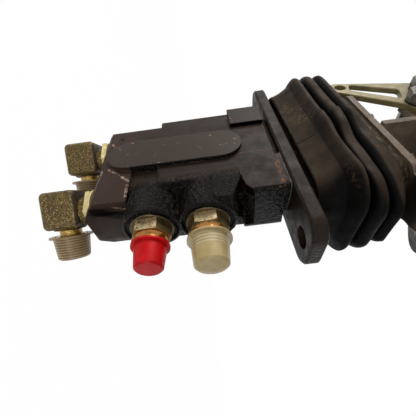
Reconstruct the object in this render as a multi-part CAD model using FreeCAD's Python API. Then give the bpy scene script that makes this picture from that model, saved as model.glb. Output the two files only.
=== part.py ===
import os
import FreeCAD, Part
from math import atan2, cos, pi, radians, sin, sqrt, tan

# Foot pedal valve: a cast body with two spools hangs below a mounting flange, and a rocker pedal stands on it.
# Millimetres. +Z is the plunger direction, towards the pedal, and the origin is the middle of the flange's seat face.
# -Y is the side of the two straight port fittings, -X is the side of the raised machining pad.

# Fits
running = 0.03          # radial clearance of sliding and turning pairs
seat_gap = 0.05         # radial clearance of screwed and pushed-in pairs
soft_gap = 0.3          # clearance round rubber

# Mounting flange
flange_length = 161.0
flange_width = 39.0
flange_thickness = 9.0
flange_bevel = 1.2
flange_front_corner_r = 12.0
flange_rear_corner_r = 9.0
mount_hole_d = 13.5
mount_spacing = 138.0
plinth_height = 4.0
plinth_length = 108.0
plinth_width = 30.0
plinth_corner_r = 12.0
gasket_thickness = 0.8

# Spool bores
spool_spacing = 54.8
chamber_r = 11.0
chamber_end_z = -62.0
spool_r = 5.0
spool_bore_end_z = -112.0

# Body casting
body_half_x = 18.6
body_end_z = -125.5
collar_top_z = -3.7
collar_bottom_z = -28.0
collar_front_y = -46.0
collar_rear_y = 44.0
middle_front_y = -30.0
middle_taper_front_y = -41.0
middle_taper_z = -35.0
body_rear_y = 44.0
recess_top_z = -80.6
recess_bottom_z = -98.5
recess_depth = 2.6
recess_rear_y = 12.0
block_front_y = -46.5
block_rear_y = 42.0
block_facet_front_y = -42.9
block_facet_rear_y = 35.0
block_facet_rear_x = 7.0
block_facet_front_x = 9.0
end_bevel_z = 6.0
end_bevel_x = 6.9
neck_half_x = 14.0
neck_step_y = -12.0
hump_height = 14.2
hump_bottom_z = -30.5
hump_front_y = 7.0
hump_rear_y = 28.0
hump_toe_y = -10.0
pad_length = 93.0
pad_width = 29.0
pad_proud = 3.1
pad_centre_y = 1.0
pad_centre_z = -69.5
body_round = 3.0

# Front ports
port_face_y = -49.5
tank_port_z = -51.6
pressure_port_z = -86.7
boss_r = 18.4
spot_r = 17.2
spot_depth = 1.0
boss_web_x = -4.0
boss_web_front_y = -44.5
port_thread_r = 11.1
port_depth = 12.0
port_seal_r = 12.05
port_seal_depth = 3.0
gallery_r = 4.0
gallery_end_y = 36.0

# Straight adapters
adapter_hex = 25.4
adapter_hex_length = 7.6
adapter_neck_r = 8.4
adapter_neck_length = 3.2
adapter_bore_r = 5.2
tank_thread_r = 9.5
tank_thread_length = 9.5
pressure_thread_r = 7.9
pressure_thread_length = 7.5
seal_wire_r = 1.1

# Push-on caps
cap_rim_y = -63.0
cap_rim_thickness = 1.2
cap_wall = 0.9
tank_cap_rim_r = 13.5
tank_cap_mouth_r = 11.25
tank_cap_end_r = 10.0
tank_cap_length = 17.5
pressure_cap_rim_r = 11.65
pressure_cap_mouth_r = 9.5
pressure_cap_end_r = 8.4
pressure_cap_length = 15.1

# Elbows on the bottom end face
elbow_block_back = 15.0
elbow_block_front = 10.0
elbow_block_height = 24.0
elbow_block_depth = 23.0
elbow_round = 3.5
elbow_top_z = -135.4
elbow_turn = -45.0
elbow_stud_r = 9.5
elbow_stud_depth = 11.5
elbow_seal_r = 10.45
elbow_seal_depth = 3.0
elbow_bore_r = 5.0
elbow_neck_r = 7.0
elbow_neck_length = 5.0
elbow_thread_length = 10.0
locknut_hex = 25.4
locknut_height = 2.7
washer_thickness = 1.4
washer_r = 13.6
elbow_cap_length = 16.0
elbow_cap_rim_r = 13.8
elbow_cap_mouth_r = 11.2
elbow_cap_end_r = 10.1

# Plunger guides, plungers, seats and spools
guide_head_r = 12.4
guide_head_height = 3.5
guide_bottom_z = -22.0
guide_seal_z = -8.0
guide_seal_wire_r = 0.95
plunger_r = 6.0
plunger_stop_r = 9.0
plunger_stop_height = 3.0
plunger_stop_gap = 6.5
wiper_r = 8.6
wiper_height = 2.4
seat_r = 9.9
seat_thickness = 3.0
seat_skirt_r = 7.2
seat_skirt_bore_r = 6.1
seat_skirt_height = 4.5
stem_r = 2.5
stem_head_r = 3.8
stem_head_height = 2.4
stem_lost_motion = 4.9
tank_groove_lift = 8.7
spool_tail = 17.3
spool_collar_r = 6.3
spool_collar_height = 2.5
spool_collar_lift = 1.5
return_wire_r = 1.1
return_mean_r = 8.65
return_turns = 5
metering_wire_r = 0.7
metering_mean_r = 4.9
metering_turns = 6
coil_steps = 12

# Rocker and pivot
pivot_z = 36.0
pivot_r = 4.0
ear_inner_x = 10.0
ear_thickness = 5.0
ear_r = 7.5
pin_overhang = 2.6
circlip_thickness = 1.0
bush_wall = 2.0
bush_flange_r = 8.5
bush_flange_thickness = 0.9
rocker_hub_r = 11.0
rocker_hub_half_x = 9.0
rocker_beam_bottom_z = 48.0
rocker_plate_bottom_z = 56.0
rocker_top_z = 62.0
rocker_beam_half_y = 35.0
rocker_plate_half_x = 21.5
rocker_front_y = -50.5
rocker_rear_y = 38.0
rocker_corner_r = 9.0
adjuster_ball_r = 6.0
adjuster_thread_r = 5.0
adjuster_neck_r = 3.6
adjuster_gap = 0.1
adjuster_nut_hex = 15.0
adjuster_nut_height = 4.0

# Flange screws
screw_x = 9.7
screw_y = 13.2
screw_r = 3.0
screw_head_r = 5.0
screw_head_height = 6.0
screw_length = 20.0

# Boot
boot_wall = 2.6
boot_skirt_z = (11.0, 21.0)
boot_skirt_half_x = (22.0, 26.5)
boot_skirt_front_y = (-59.0, -63.0)
boot_skirt_rear_y = (65.2, 67.2)
boot_skirt_r = (16.0, 19.0)
boot_fold_z = (28.0, 38.5, 49.5)
boot_fold_half_x = (34.2, 31.5, 29.5)
boot_fold_front_y = (-69.9, -71.6, -71.0)
boot_fold_rear_y = (70.4, 73.0, 74.5)
boot_fold_r = (19.0, 22.0, 23.0)
boot_bulge = 2.6        # a fold keeps almost its full size this far above and below its crest
boot_bulge_drop = 1.0
boot_valley_z = (33.2, 44.0)
boot_valley_half_x = (26.5, 24.5)
boot_valley_front_y = (-63.5, -62.5)
boot_valley_rear_y = (65.0, 64.5)
boot_valley_r = 17.0
boot_web_half_x = 20.5
boot_web_half_y = 57.5
boot_web_z = (11.2, 13.2)
boot_bead_half_x = 18.3
boot_bead_half_y = 57.3
boot_bead_r = 14.0
boot_collar_start_z = 54.0
boot_collar_wall = 3.2
boot_lip_bevel = 1.8
boot_lip_height = 3.2

# Pedal base plate and bracket
base_thickness = 5.5
base_half_x = 24.5
base_bevel = 1.5
base_front_y = -53.0
base_rear_y = 39.5
base_corner_r = 8.0
base_screw_r = 3.0
base_screw_head_hex = 10.0
base_screw_head_height = 3.4
base_screw_x = 16.0
base_screw_rows_y = (-36.0, 10.0)
tongue_left_x = -21.5
tongue_right_x = 4.5
tongue_neck_r = 13.0
tongue_bend_r = 9.0
bracket_wall = 4.0
front_wall_y = -8.6
rear_lug_y = 15.4
rear_lug_low_z = 96.2
rear_lug_knee_x = -4.0
rear_lug_foot_x = 10.0
cheek_x = -14.4
cheek_low_z = 97.0
wall_half_x = 25.3
link_arm_thickness = 4.0
link_hole_y = 52.5
link_hole_z = 65.5
link_hole_r = 4.1
link_bolt_r = 5.0
link_bolt_hex = 16.0
link_bolt_head = 6.4
link_nut_height = 8.0
link_washer_r = 9.0
link_washer_thickness = 1.8
link_bolt_upper = (32.5, 118.0)
link_bolt_lower = (16.5, 106.0)
link_rear_low = (61.9, 59.0)
link_rear_top = (40.7, 130.0)
link_front_low = (47.2, 59.0)
link_front_bend = (15.8, 96.9)
link_front_edge_y = 8.5
link_corner_r = 4.5
link_slot_corners = ((46.2, 70.6), (55.4, 73.6), (37.6, 103.4), (24.0, 99.0))
link_slot_corner_r = 2.6

# Tread
tread_tilt = 30.0
tread_length = 191.0
tread_width = 88.0
tread_thickness = 4.0
tread_heel_corner_r = 33.0
tread_toe_corner_r = 10.0
tread_heel_y = -78.0
tread_heel_z = 74.9
tread_rubber_thickness = 5.0
tread_rubber_margin = 3.0
tread_rib_count = 11
tread_rib_height = 2.2
tread_screw_r = 3.0
tread_nut_hex = 10.0
tread_nut_height = 5.0
tread_screw_end = 18.0
tread_screw_edge = 25.0
toe_stop_height = 14.0
toe_stop_inset = 8.0
toe_stop_margin = 12.0

# Worked out from the values above
reach = 2 * flange_length  # a cutter's length, longer than any part
spool_bottom_z = pressure_port_z - spool_tail
tank_groove_low_z = pressure_port_z + tank_groove_lift
X = FreeCAD.Vector(1, 0, 0)
Y = FreeCAD.Vector(0, 1, 0)
Z = FreeCAD.Vector(0, 0, 1)
ORIGIN = FreeCAD.Vector(0, 0, 0)
plinth_top_z = flange_thickness + plinth_height
guide_top_z = plinth_top_z + guide_head_height
plunger_top_z = pivot_z - adjuster_ball_r - adjuster_gap
plunger_stop_top_z = guide_bottom_z - plunger_stop_gap
plunger_bottom_z = plunger_stop_top_z - plunger_stop_height
seat_bottom_z = plunger_bottom_z - seat_thickness
spool_collar_bottom_z = chamber_end_z + spool_collar_lift
spool_collar_top_z = spool_collar_bottom_z + spool_collar_height
stem_head_z = plunger_bottom_z + stem_lost_motion
base_top_z = rocker_top_z + base_thickness
link_outer_x = cheek_x - bracket_wall - link_arm_thickness
tilt = radians(tread_tilt)
SIDES = {"front": -1, "rear": 1}


def vec(x, y, z):
    return FreeCAD.Vector(x, y, z)


def box(x0, x1, y0, y1, z0, z1):
    return Part.makeBox(x1 - x0, y1 - y0, z1 - z0, vec(x0, y0, z0))


def rod(r, length, base, axis=Z):
    return Part.makeCylinder(r, length, base, axis)


def tube(r_out, r_in, length, base, axis=Z):
    return rod(r_out, length, base, axis).cut(rod(r_in, length, base, axis))


def hex_prism(flats, length, base, axis=Z, turn=0.0):
    # A hexagon of the given size across flats, extruded along axis
    across = axis.cross(X)
    if across.Length < 0.5:
        across = axis.cross(Y)
    across.normalize()
    other = axis.cross(across)
    points = []
    for i in range(7):
        a = pi / 3 * i + radians(turn)
        points.append(base + (across * cos(a) + other * sin(a)) * (flats / sqrt(3)))
    return Part.Face(Part.makePolygon(points)).extrude(axis * length)


def chamfered_hex(flats, length, base, axis=Z, turn=0.0):
    # A hexagon head whose corners are turned off on the far end
    corner = flats / sqrt(3)
    slope = (corner - flats / 2) * 0.6
    profile = [(0, 0), (corner, 0), (corner, length - slope), (flats / 2, length), (0, length)]
    return hex_prism(flats, length, base, axis, turn).common(revolve(profile, base, axis))


def seal_ring(outer_r, wire_r, middle, axis=Z):
    # A rubber ring as it sits squeezed in its groove, with the outside at outer_r
    inner_r = outer_r - 2 * wire_r
    return revolve([(inner_r, 0), (outer_r - wire_r, -wire_r), (outer_r, -0.4 * wire_r), (outer_r, 0.4 * wire_r),
                    (outer_r - wire_r, wire_r)], middle, axis)


def revolve(profile, base=ORIGIN, axis=Z):
    # profile is a list of (radius, height) pairs from the base along axis
    wire = Part.makePolygon([vec(r, 0, h) for r, h in profile + profile[:1]])
    solid = Part.Face(wire).revolve(ORIGIN, Z, 360)
    solid.Placement = FreeCAD.Placement(base, FreeCAD.Rotation(Z, axis))
    return solid


def rounded_outline(x0, x1, y0, y1, r, z):
    # A rectangle with round corners in the plane at height z
    d = r * (1 - sqrt(0.5))
    corners = [((x0, y0 + r), (x0 + d, y0 + d), (x0 + r, y0)),
               ((x1 - r, y0), (x1 - d, y0 + d), (x1, y0 + r)),
               ((x1, y1 - r), (x1 - d, y1 - d), (x1 - r, y1)),
               ((x0 + r, y1), (x0 + d, y1 - d), (x0, y1 - r))]
    edges = []
    for i, corner in enumerate(corners):
        start, middle, end = [vec(p[0], p[1], z) for p in corner]
        after = corners[(i + 1) % 4][0]
        edges.append(Part.Arc(start, middle, end).toShape())
        if (end - vec(after[0], after[1], z)).Length > 1e-6:
            edges.append(Part.LineSegment(end, vec(after[0], after[1], z)).toShape())
    return Part.Wire(edges)


def rounded_plate(x0, x1, y0, y1, r, z0, z1):
    return Part.Face(rounded_outline(x0, x1, y0, y1, r, z0)).extrude(Z * (z1 - z0))


def two_end_plate(x0, x1, y0, y1, r_front, r_rear, z0, z1):
    # A plate whose front corners and rear corners have different radii
    middle = (y0 + y1) / 2
    front = rounded_plate(x0, x1, y0, middle + r_front, r_front, z0, z1)
    rear = rounded_plate(x0, x1, middle - r_rear, y1, r_rear, z0, z1)
    return front.fuse(rear).removeSplitter()


def stadium_x(length, width, y, z, x0, x1):
    # A plate with half-round ends, long along Z and extruded along X
    r = width / 2
    body = box(x0, x1, y - r, y + r, z - length / 2 + r, z + length / 2 - r)
    ends = [rod(r, x1 - x0, vec(x0, y, z + s * (length / 2 - r)), X) for s in (-1, 1)]
    return body.fuse(ends).removeSplitter()


def prism(points, axis, start, end):
    # points are the two coordinates across axis, in X, Y, Z order
    def place(p):
        if axis is X:
            return vec(start, p[0], p[1])
        if axis is Y:
            return vec(p[0], start, p[1])
        return vec(p[0], p[1], start)
    wire = Part.makePolygon([place(p) for p in points + points[:1]])
    return Part.Face(wire).extrude(axis * (end - start))


def edges_along(shape, axis, test):
    # Straight edges parallel to axis whose middle passes the test
    found = []
    for edge in shape.Edges:
        if len(edge.Vertexes) == 2 and edge.Curve.TypeId == "Part::GeomLine":
            direction = (edge.Vertexes[1].Point - edge.Vertexes[0].Point).normalize()
            if abs(abs(direction.dot(axis)) - 1) < 1e-6 and test(edge.CenterOfMass):
                found.append(edge)
    return found


def save(name, shape):
    shape.exportStep("parts/" + name + ".step")


def group(shapes):
    return Part.makeCompound(shapes)


def spool_y(side):
    return side * spool_spacing / 2


def neck_plate(z0, z1):
    # The joint face towards the flange: full width at the front, drawn in behind the hump
    front = collar_front_y + 2
    slim = rounded_plate(-neck_half_x, neck_half_x, front + 1, collar_rear_y - 2, 11, z0, z1)
    wide = rounded_plate(-body_half_x + 0.8, 0, front, neck_step_y, 3, z0, z1)
    return slim.fuse(wide).removeSplitter()


def valve_body():
    middle = prism([(middle_taper_front_y, collar_bottom_z), (middle_taper_front_y, middle_taper_z),
                    (middle_front_y, middle_taper_z - (middle_front_y - middle_taper_front_y)),
                    (middle_front_y, recess_top_z), (body_rear_y, recess_top_z),
                    (body_rear_y, collar_bottom_z)], X, -body_half_x, body_half_x)
    middle = middle.makeFillet(body_round, edges_along(middle, Z, lambda c: c.z < middle_taper_z or c.y > 0))
    waist_x = body_half_x - recess_depth
    waist_rear_x = body_half_x - block_facet_rear_x
    flush_y = recess_rear_y + recess_depth
    # The casting is drawn in between the two blocks, but only on its front half
    waist = prism([(-waist_x, middle_front_y), (waist_x, middle_front_y), (waist_x, recess_rear_y),
                   (body_half_x, flush_y), (body_half_x, block_facet_rear_y), (waist_rear_x, block_rear_y),
                   (-waist_rear_x, block_rear_y), (-body_half_x, block_facet_rear_y), (-body_half_x, flush_y),
                   (-waist_x, recess_rear_y)], Z, recess_bottom_z - 1, recess_top_z + 1)
    collar = box(-body_half_x, body_half_x, collar_front_y, collar_rear_y, collar_bottom_z, collar_top_z)
    collar = collar.makeChamfer(2.4, edges_along(collar, Z, lambda c: c.y < 0 and c.x < 0))
    collar = collar.makeFillet(5.5, edges_along(collar, Z, lambda c: c.y < 0 and c.x > 0))
    collar = collar.makeFillet(6.0, edges_along(collar, Z, lambda c: c.y > 0))
    hump = prism([(-body_half_x + 1, hump_toe_y), (-body_half_x, hump_toe_y),
                  (-body_half_x - hump_height + 2.5, hump_front_y - 1.5), (-body_half_x - hump_height + 2.5, hump_front_y),
                  (-body_half_x - hump_height, hump_front_y), (-body_half_x - hump_height, hump_rear_y - 4),
                  (-body_half_x - hump_height + 3, hump_rear_y), (-body_half_x, hump_rear_y + 6),
                  (-body_half_x + 1, hump_rear_y + 6)], Z, hump_bottom_z, collar_top_z)
    front_x = body_half_x - block_facet_front_x
    rear_x = body_half_x - block_facet_rear_x
    block = prism([(-body_half_x, block_facet_front_y), (-front_x, block_front_y), (front_x, block_front_y),
                   (body_half_x, block_facet_front_y), (body_half_x, block_facet_rear_y), (rear_x, block_rear_y),
                   (-rear_x, block_rear_y), (-body_half_x, block_facet_rear_y)], Z, body_end_z, recess_bottom_z)
    for side in (-1, 1):
        edge_x = side * body_half_x
        bevel = prism([(edge_x + side, body_end_z - 1), (edge_x - side * end_bevel_x, body_end_z - 1),
                       (edge_x - side * end_bevel_x, body_end_z), (edge_x, body_end_z + end_bevel_z),
                       (edge_x + side, body_end_z + end_bevel_z)], Y, -reach, reach)
        block = block.cut(bevel)
    undercut = box(-body_half_x - 1, -body_half_x + 7, block_facet_front_y - 6, block_facet_front_y + 1.5,
                   body_end_z - 1, recess_bottom_z + 1)
    block = block.cut(undercut)
    pad = stadium_x(pad_length, pad_width, pad_centre_y, pad_centre_z, -body_half_x - pad_proud, -body_half_x + 3)
    neck = neck_plate(collar_top_z - 1, -gasket_thickness)
    bosses = []
    for z in (tank_port_z, pressure_port_z):
        bosses.append(rod(boss_r, middle_front_y + 4 - port_face_y, vec(0, port_face_y, z), Y))
        bosses.append(Part.makeCone(boss_r, boss_r - 9, 14, vec(0, middle_front_y + 3, z), Y))
    web = box(boss_web_x, body_half_x, boss_web_front_y, middle_front_y + 2, pressure_port_z, tank_port_z)
    body = middle.fuse([waist, collar, hump, block, pad, neck, web] + bosses)
    for z in (tank_port_z, pressure_port_z):
        body = body.cut(tube(boss_r + 2, spot_r, spot_depth, vec(0, port_face_y, z), Y))
        body = body.cut(rod(port_thread_r, port_depth, vec(0, port_face_y, z), Y))
        body = body.cut(rod(port_seal_r, port_seal_depth, vec(0, port_face_y, z), Y))
        body = body.cut(rod(gallery_r, gallery_end_y - port_face_y, vec(0, port_face_y, z), Y))
    for side in SIDES.values():
        y = spool_y(side)
        body = body.cut(rod(chamber_r + seat_gap, 0 - chamber_end_z, vec(0, y, chamber_end_z)))
        body = body.cut(rod(spool_r + running, chamber_end_z - spool_bore_end_z, vec(0, y, spool_bore_end_z)))
        body = body.cut(rod(spool_r + 2, 6, vec(0, y, pressure_port_z - 3)))
        body = body.cut(rod(elbow_stud_r + seat_gap, elbow_stud_depth, vec(0, y, body_end_z)))
        body = body.cut(rod(elbow_seal_r + seat_gap, elbow_seal_depth, vec(0, y, body_end_z)))
        for x in (-screw_x, screw_x):
            body = body.cut(rod(screw_r + seat_gap, screw_length, vec(x, side * screw_y, -screw_length)))
    return body.removeSplitter()


def mounting_flange():
    half_x = flange_width / 2
    half_y = flange_length / 2
    plate = two_end_plate(-half_x, half_x, -half_y, half_y, flange_front_corner_r, flange_rear_corner_r,
                          0, flange_thickness)
    rim = [e for e in plate.Edges if abs(e.CenterOfMass.z) < 1e-6 or abs(e.CenterOfMass.z - flange_thickness) < 1e-6]
    plate = plate.makeChamfer(flange_bevel, rim)
    plinth = rounded_plate(-plinth_width / 2, plinth_width / 2, -plinth_length / 2, plinth_length / 2, plinth_corner_r,
                           flange_thickness - 1, plinth_top_z)
    shape = plate.fuse(plinth)
    for side in (-1, 1):
        x0 = side * ear_inner_x if side > 0 else -ear_inner_x - ear_thickness
        ear = box(x0, x0 + ear_thickness, -ear_r, ear_r, plinth_top_z - 1, pivot_z)
        ear = ear.fuse(rod(ear_r, ear_thickness, vec(x0, 0, pivot_z), X))
        shape = shape.fuse(ear)
    shape = shape.cut(rod(pivot_r + running, reach, vec(-reach / 2, 0, pivot_z), X))
    for side in (-1, 1):
        shape = shape.cut(rod(mount_hole_d / 2, flange_thickness + 2, vec(0, side * mount_spacing / 2, -1)))
        shape = shape.cut(rod(chamber_r + seat_gap, plinth_top_z + 2, vec(0, spool_y(side), -1)))
        for x in (-screw_x, screw_x):
            shape = shape.cut(rod(screw_r + 0.3, plinth_top_z + 2, vec(x, side * screw_y, -1)))
            shape = shape.cut(rod(screw_head_r + 0.2, screw_head_height + 1,
                                  vec(x, side * screw_y, plinth_top_z - screw_head_height)))
    return shape.removeSplitter()


def flange_gasket():
    sheet = neck_plate(-gasket_thickness, 0)
    for side in (-1, 1):
        sheet = sheet.cut(rod(chamber_r + seat_gap, 2, vec(0, spool_y(side), -1.5)))
        for x in (-screw_x, screw_x):
            sheet = sheet.cut(rod(screw_r + 0.3, 2, vec(x, side * screw_y, -1.5)))
    return sheet


def socket_screw(x, y):
    seat_z = plinth_top_z - screw_head_height
    shank = rod(screw_r, seat_z + screw_length - 2, vec(x, y, 2 - screw_length))
    head = rod(screw_head_r, screw_head_height, vec(x, y, seat_z))
    return shank.fuse(head)


def flange_screws():
    return group([socket_screw(x, side * screw_y) for side in (-1, 1) for x in (-screw_x, screw_x)])


def plunger_guide(side):
    y = spool_y(side)
    shank = rod(chamber_r, plinth_top_z - guide_bottom_z, vec(0, y, guide_bottom_z))
    head = revolve([(0, 0), (guide_head_r, 0), (guide_head_r, guide_head_height - 1.5),
                    (guide_head_r - 2, guide_head_height), (0, guide_head_height)], vec(0, y, plinth_top_z))
    shape = shank.fuse(head)
    shape = shape.cut(rod(plunger_r + running, reach, vec(0, y, guide_bottom_z - 1)))
    shape = shape.cut(rod(wiper_r, wiper_height + 1, vec(0, y, guide_top_z - wiper_height)))
    groove = tube(chamber_r + 1, chamber_r - 2 * guide_seal_wire_r, 2 * guide_seal_wire_r + 0.5,
                  vec(0, y, guide_seal_z - guide_seal_wire_r - 0.25))
    return shape.cut(groove)


def guide_o_rings():
    return group([seal_ring(chamber_r, guide_seal_wire_r, vec(0, spool_y(s), guide_seal_z)) for s in (-1, 1)])


def plunger_wipers():
    rings = []
    for side in (-1, 1):
        inner = plunger_r + running + 0.02
        rings.append(revolve([(inner, 0), (wiper_r - 0.02, 0), (wiper_r - 0.02, wiper_height - 0.6),
                              (inner + 0.6, wiper_height + 0.6), (inner, wiper_height + 0.6)],
                             vec(0, spool_y(side), guide_top_z - wiper_height)))
    return group(rings)


def plunger(side):
    y = spool_y(side)
    edge = 0.8
    shape = revolve([(0, 0), (plunger_stop_r, 0), (plunger_stop_r, plunger_stop_height),
                     (plunger_r, plunger_stop_height), (plunger_r, plunger_top_z - plunger_bottom_z - edge),
                     (plunger_r - edge, plunger_top_z - plunger_bottom_z), (0, plunger_top_z - plunger_bottom_z)],
                    vec(0, y, plunger_bottom_z))
    room = 2 * stem_lost_motion + stem_head_height
    return shape.cut(rod(stem_head_r + 0.4, room, vec(0, y, plunger_bottom_z)))


def spring_seat(side):
    y = spool_y(side)
    disc = rod(seat_r, seat_thickness, vec(0, y, seat_bottom_z))
    skirt = tube(seat_skirt_r, seat_skirt_bore_r, seat_skirt_height, vec(0, y, seat_bottom_z - seat_skirt_height))
    slot_r = stem_r + 0.3
    shape = disc.fuse(skirt).cut(rod(slot_r, seat_thickness, vec(0, y, seat_bottom_z)))
    # The seat slides onto the stem through this slot, below the stem's head
    return shape.cut(box(0, seat_r + 1, y - slot_r, y + slot_r, seat_bottom_z - seat_skirt_height - 1,
                         plunger_bottom_z + 1))


def spool(side):
    y = spool_y(side)
    groove_r = spool_r - 1.4
    profile = [(0, spool_bottom_z), (spool_r, spool_bottom_z), (spool_r, pressure_port_z - 5),
               (groove_r, pressure_port_z - 5), (groove_r, pressure_port_z + 5), (spool_r, pressure_port_z + 5),
               (spool_r, tank_groove_low_z), (groove_r, tank_groove_low_z), (groove_r, tank_groove_low_z + 9),
               (spool_r, tank_groove_low_z + 9), (spool_r, spool_collar_bottom_z),
               (spool_collar_r, spool_collar_bottom_z), (spool_collar_r, spool_collar_top_z),
               (stem_r, spool_collar_top_z), (stem_r, stem_head_z),
               (stem_head_r, stem_head_z), (stem_head_r, stem_head_z + stem_head_height), (0, stem_head_z + stem_head_height)]
    shape = revolve(profile, vec(0, y, 0))
    shape = shape.cut(rod(1.8, 32, vec(0, y, spool_bottom_z - 1)))
    return shape.cut(rod(1.0, 2 * spool_r, vec(-spool_r, y, pressure_port_z), X))


def helical_spring(mean_r, wire_r, turns, z0, z1, y):
    # The wire follows a helix in short straight steps
    low = z0 + wire_r
    high = z1 - wire_r
    steps = turns * coil_steps
    wires = []
    for i in range(steps + 1):
        a = 2 * pi * i / coil_steps
        centre = vec(mean_r * cos(a), y + mean_r * sin(a), low + (high - low) * i / steps)
        out = vec(cos(a), sin(a), 0)
        ring = [centre + out * (wire_r * cos(b)) + Z * (wire_r * sin(b)) for b in [pi / 3 * k for k in range(6)]]
        wires.append(Part.makePolygon(ring + ring[:1]))
    return Part.makeLoft(wires, True, True)


def straight_adapter(z, thread_r, thread_length):
    hex_end = port_face_y - adapter_hex_length
    back = vec(0, -1, 0)
    stud = rod(port_thread_r - seat_gap, port_depth - 1, vec(0, port_face_y + port_depth - 1, z), back)
    stud = stud.cut(tube(port_thread_r + 1, port_seal_r - 2 * seal_wire_r, port_seal_depth,
                         vec(0, port_face_y, z), Y))
    head = chamfered_hex(adapter_hex, adapter_hex_length, vec(0, port_face_y, z), back, 30)
    neck = rod(min(adapter_neck_r, thread_r - 0.6), adapter_neck_length, vec(0, hex_end, z), back)
    end_y = hex_end - adapter_neck_length
    thread = revolve([(0, 0), (thread_r - 0.8, 0), (thread_r, 0.8), (thread_r, thread_length - 1.2),
                      (thread_r - 1.2, thread_length), (0, thread_length)], vec(0, end_y, z), back)
    shape = stud.fuse([head, neck, thread])
    bore_r = min(adapter_bore_r, thread_r - 2.4)
    return shape.cut(rod(bore_r, reach, vec(0, port_face_y + port_depth, z), back))


def adapter_o_rings():
    rings = []
    for z in (pressure_port_z, tank_port_z):
        rings.append(seal_ring(port_seal_r, seal_wire_r, vec(0, port_face_y + port_seal_depth / 2, z), Y))
    return group(rings)


def push_on_cap(rim_r, mouth_r, end_r, length, base, axis):
    # A thin tapered cup with a flat rim, pushed over a thread
    inside = length - cap_wall * 1.5
    inner_end_r = mouth_r + (end_r - mouth_r) * inside / length - cap_wall
    return revolve([(mouth_r - cap_wall, 0), (rim_r, 0), (rim_r, cap_rim_thickness),
                    (mouth_r + 0.4, cap_rim_thickness), (end_r + 0.1, length - 1), (end_r - 1, length), (0, length),
                    (0, inside), (inner_end_r, inside)], base, axis)


def elbow_place(side):
    # Carries a shape from the elbow's own frame, outlet along +X and stud along +Z, to its port
    return FreeCAD.Placement(vec(0, spool_y(side), elbow_top_z), FreeCAD.Rotation(Z, elbow_turn))


def elbow(side):
    depth = elbow_block_depth / 2
    block = box(-elbow_block_back, elbow_block_front, -depth, depth, -elbow_block_height, 0)
    block = block.makeFillet(elbow_round, edges_along(block, Y, lambda c: True))
    block = block.makeChamfer(1.4, [e for e in block.Edges if abs(abs(e.CenterOfMass.y) - depth) < 1e-6])
    stud_top = body_end_z + elbow_stud_depth - 0.8 - elbow_top_z
    stud = rod(elbow_stud_r, stud_top + 2, vec(0, 0, -2))
    seal_top = body_end_z + elbow_seal_depth - elbow_top_z
    stud = stud.cut(tube(elbow_stud_r + 1, elbow_seal_r - 2 * seal_wire_r, elbow_seal_depth,
                         vec(0, 0, seal_top - elbow_seal_depth)))
    centre_z = -elbow_block_height / 2
    shoulder = Part.makeCone(11.0, 9.8, 1.6, vec(elbow_block_front - 0.6, 0, centre_z), X)
    neck = rod(elbow_neck_r, elbow_neck_length + 2, vec(elbow_block_front - 1, 0, centre_z), X)
    thread = revolve([(0, 0), (tank_thread_r - 0.8, 0), (tank_thread_r, 0.8),
                      (tank_thread_r, elbow_thread_length - 1), (tank_thread_r - 1, elbow_thread_length),
                      (0, elbow_thread_length)], vec(elbow_block_front + elbow_neck_length - 0.5, 0, centre_z), X)
    shape = block.fuse([stud, shoulder, neck, thread])
    shape = shape.cut(rod(elbow_bore_r, stud_top - centre_z + 1, vec(0, 0, centre_z)))
    shape = shape.cut(rod(elbow_bore_r, reach, vec(0, 0, centre_z), X))
    shape.Placement = elbow_place(side)
    return shape


def elbow_cap(side):
    base = vec(elbow_block_front + elbow_neck_length, 0, -elbow_block_height / 2)
    cap = push_on_cap(elbow_cap_rim_r, elbow_cap_mouth_r, elbow_cap_end_r, elbow_cap_length, base, X)
    cap.Placement = elbow_place(side).multiply(cap.Placement)
    return cap


def elbow_locknuts():
    nuts = []
    for side in (-1, 1):
        base = vec(0, spool_y(side), body_end_z - washer_thickness - locknut_height)
        nut = hex_prism(locknut_hex, locknut_height, base, Z, 15)
        nuts.append(nut.cut(rod(elbow_stud_r + seat_gap, locknut_height, base)))
    return group(nuts)


def elbow_washers():
    z = body_end_z - washer_thickness
    return group([tube(washer_r, elbow_stud_r + seat_gap, washer_thickness, vec(0, spool_y(s), z)) for s in (-1, 1)])


def elbow_o_rings():
    z = body_end_z + elbow_seal_depth / 2
    return group([seal_ring(elbow_seal_r, seal_wire_r, vec(0, spool_y(s), z)) for s in (-1, 1)])


def boot_sections(inset):
    # Heights, half widths, front and rear ends and corner radii of the boot's skin, moved inwards by inset
    rows = [(boot_skirt_z[i], boot_skirt_half_x[i], boot_skirt_front_y[i], boot_skirt_rear_y[i], boot_skirt_r[i])
            for i in range(2)]
    for i in range(3):
        for step in (-1, 0, 1):
            drop = boot_bulge_drop * abs(step)
            rows.append((boot_fold_z[i] + step * boot_bulge, boot_fold_half_x[i] - drop,
                         boot_fold_front_y[i] + drop, boot_fold_rear_y[i] - drop, boot_fold_r[i]))
        if i < 2:
            rows.append((boot_valley_z[i], boot_valley_half_x[i], boot_valley_front_y[i], boot_valley_rear_y[i],
                         boot_valley_r))
    room = soft_gap + boot_collar_wall
    collar = (rocker_plate_half_x + room, rocker_front_y - room, rocker_rear_y + room, rocker_corner_r + room)
    lip_z = rocker_top_z - 0.2
    # Only the outside of the lip is bevelled
    bevel = boot_lip_bevel if inset == 0 else 0.0
    rows.append((boot_collar_start_z,) + collar)
    rows.append((lip_z - boot_lip_height,) + collar)
    rows.append((lip_z, collar[0] - bevel, collar[1] + bevel, collar[2] - bevel, collar[3] - bevel))
    return [(z, half_x - inset, front + inset, rear - inset, r - inset) for z, half_x, front, rear, r in rows]


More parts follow.
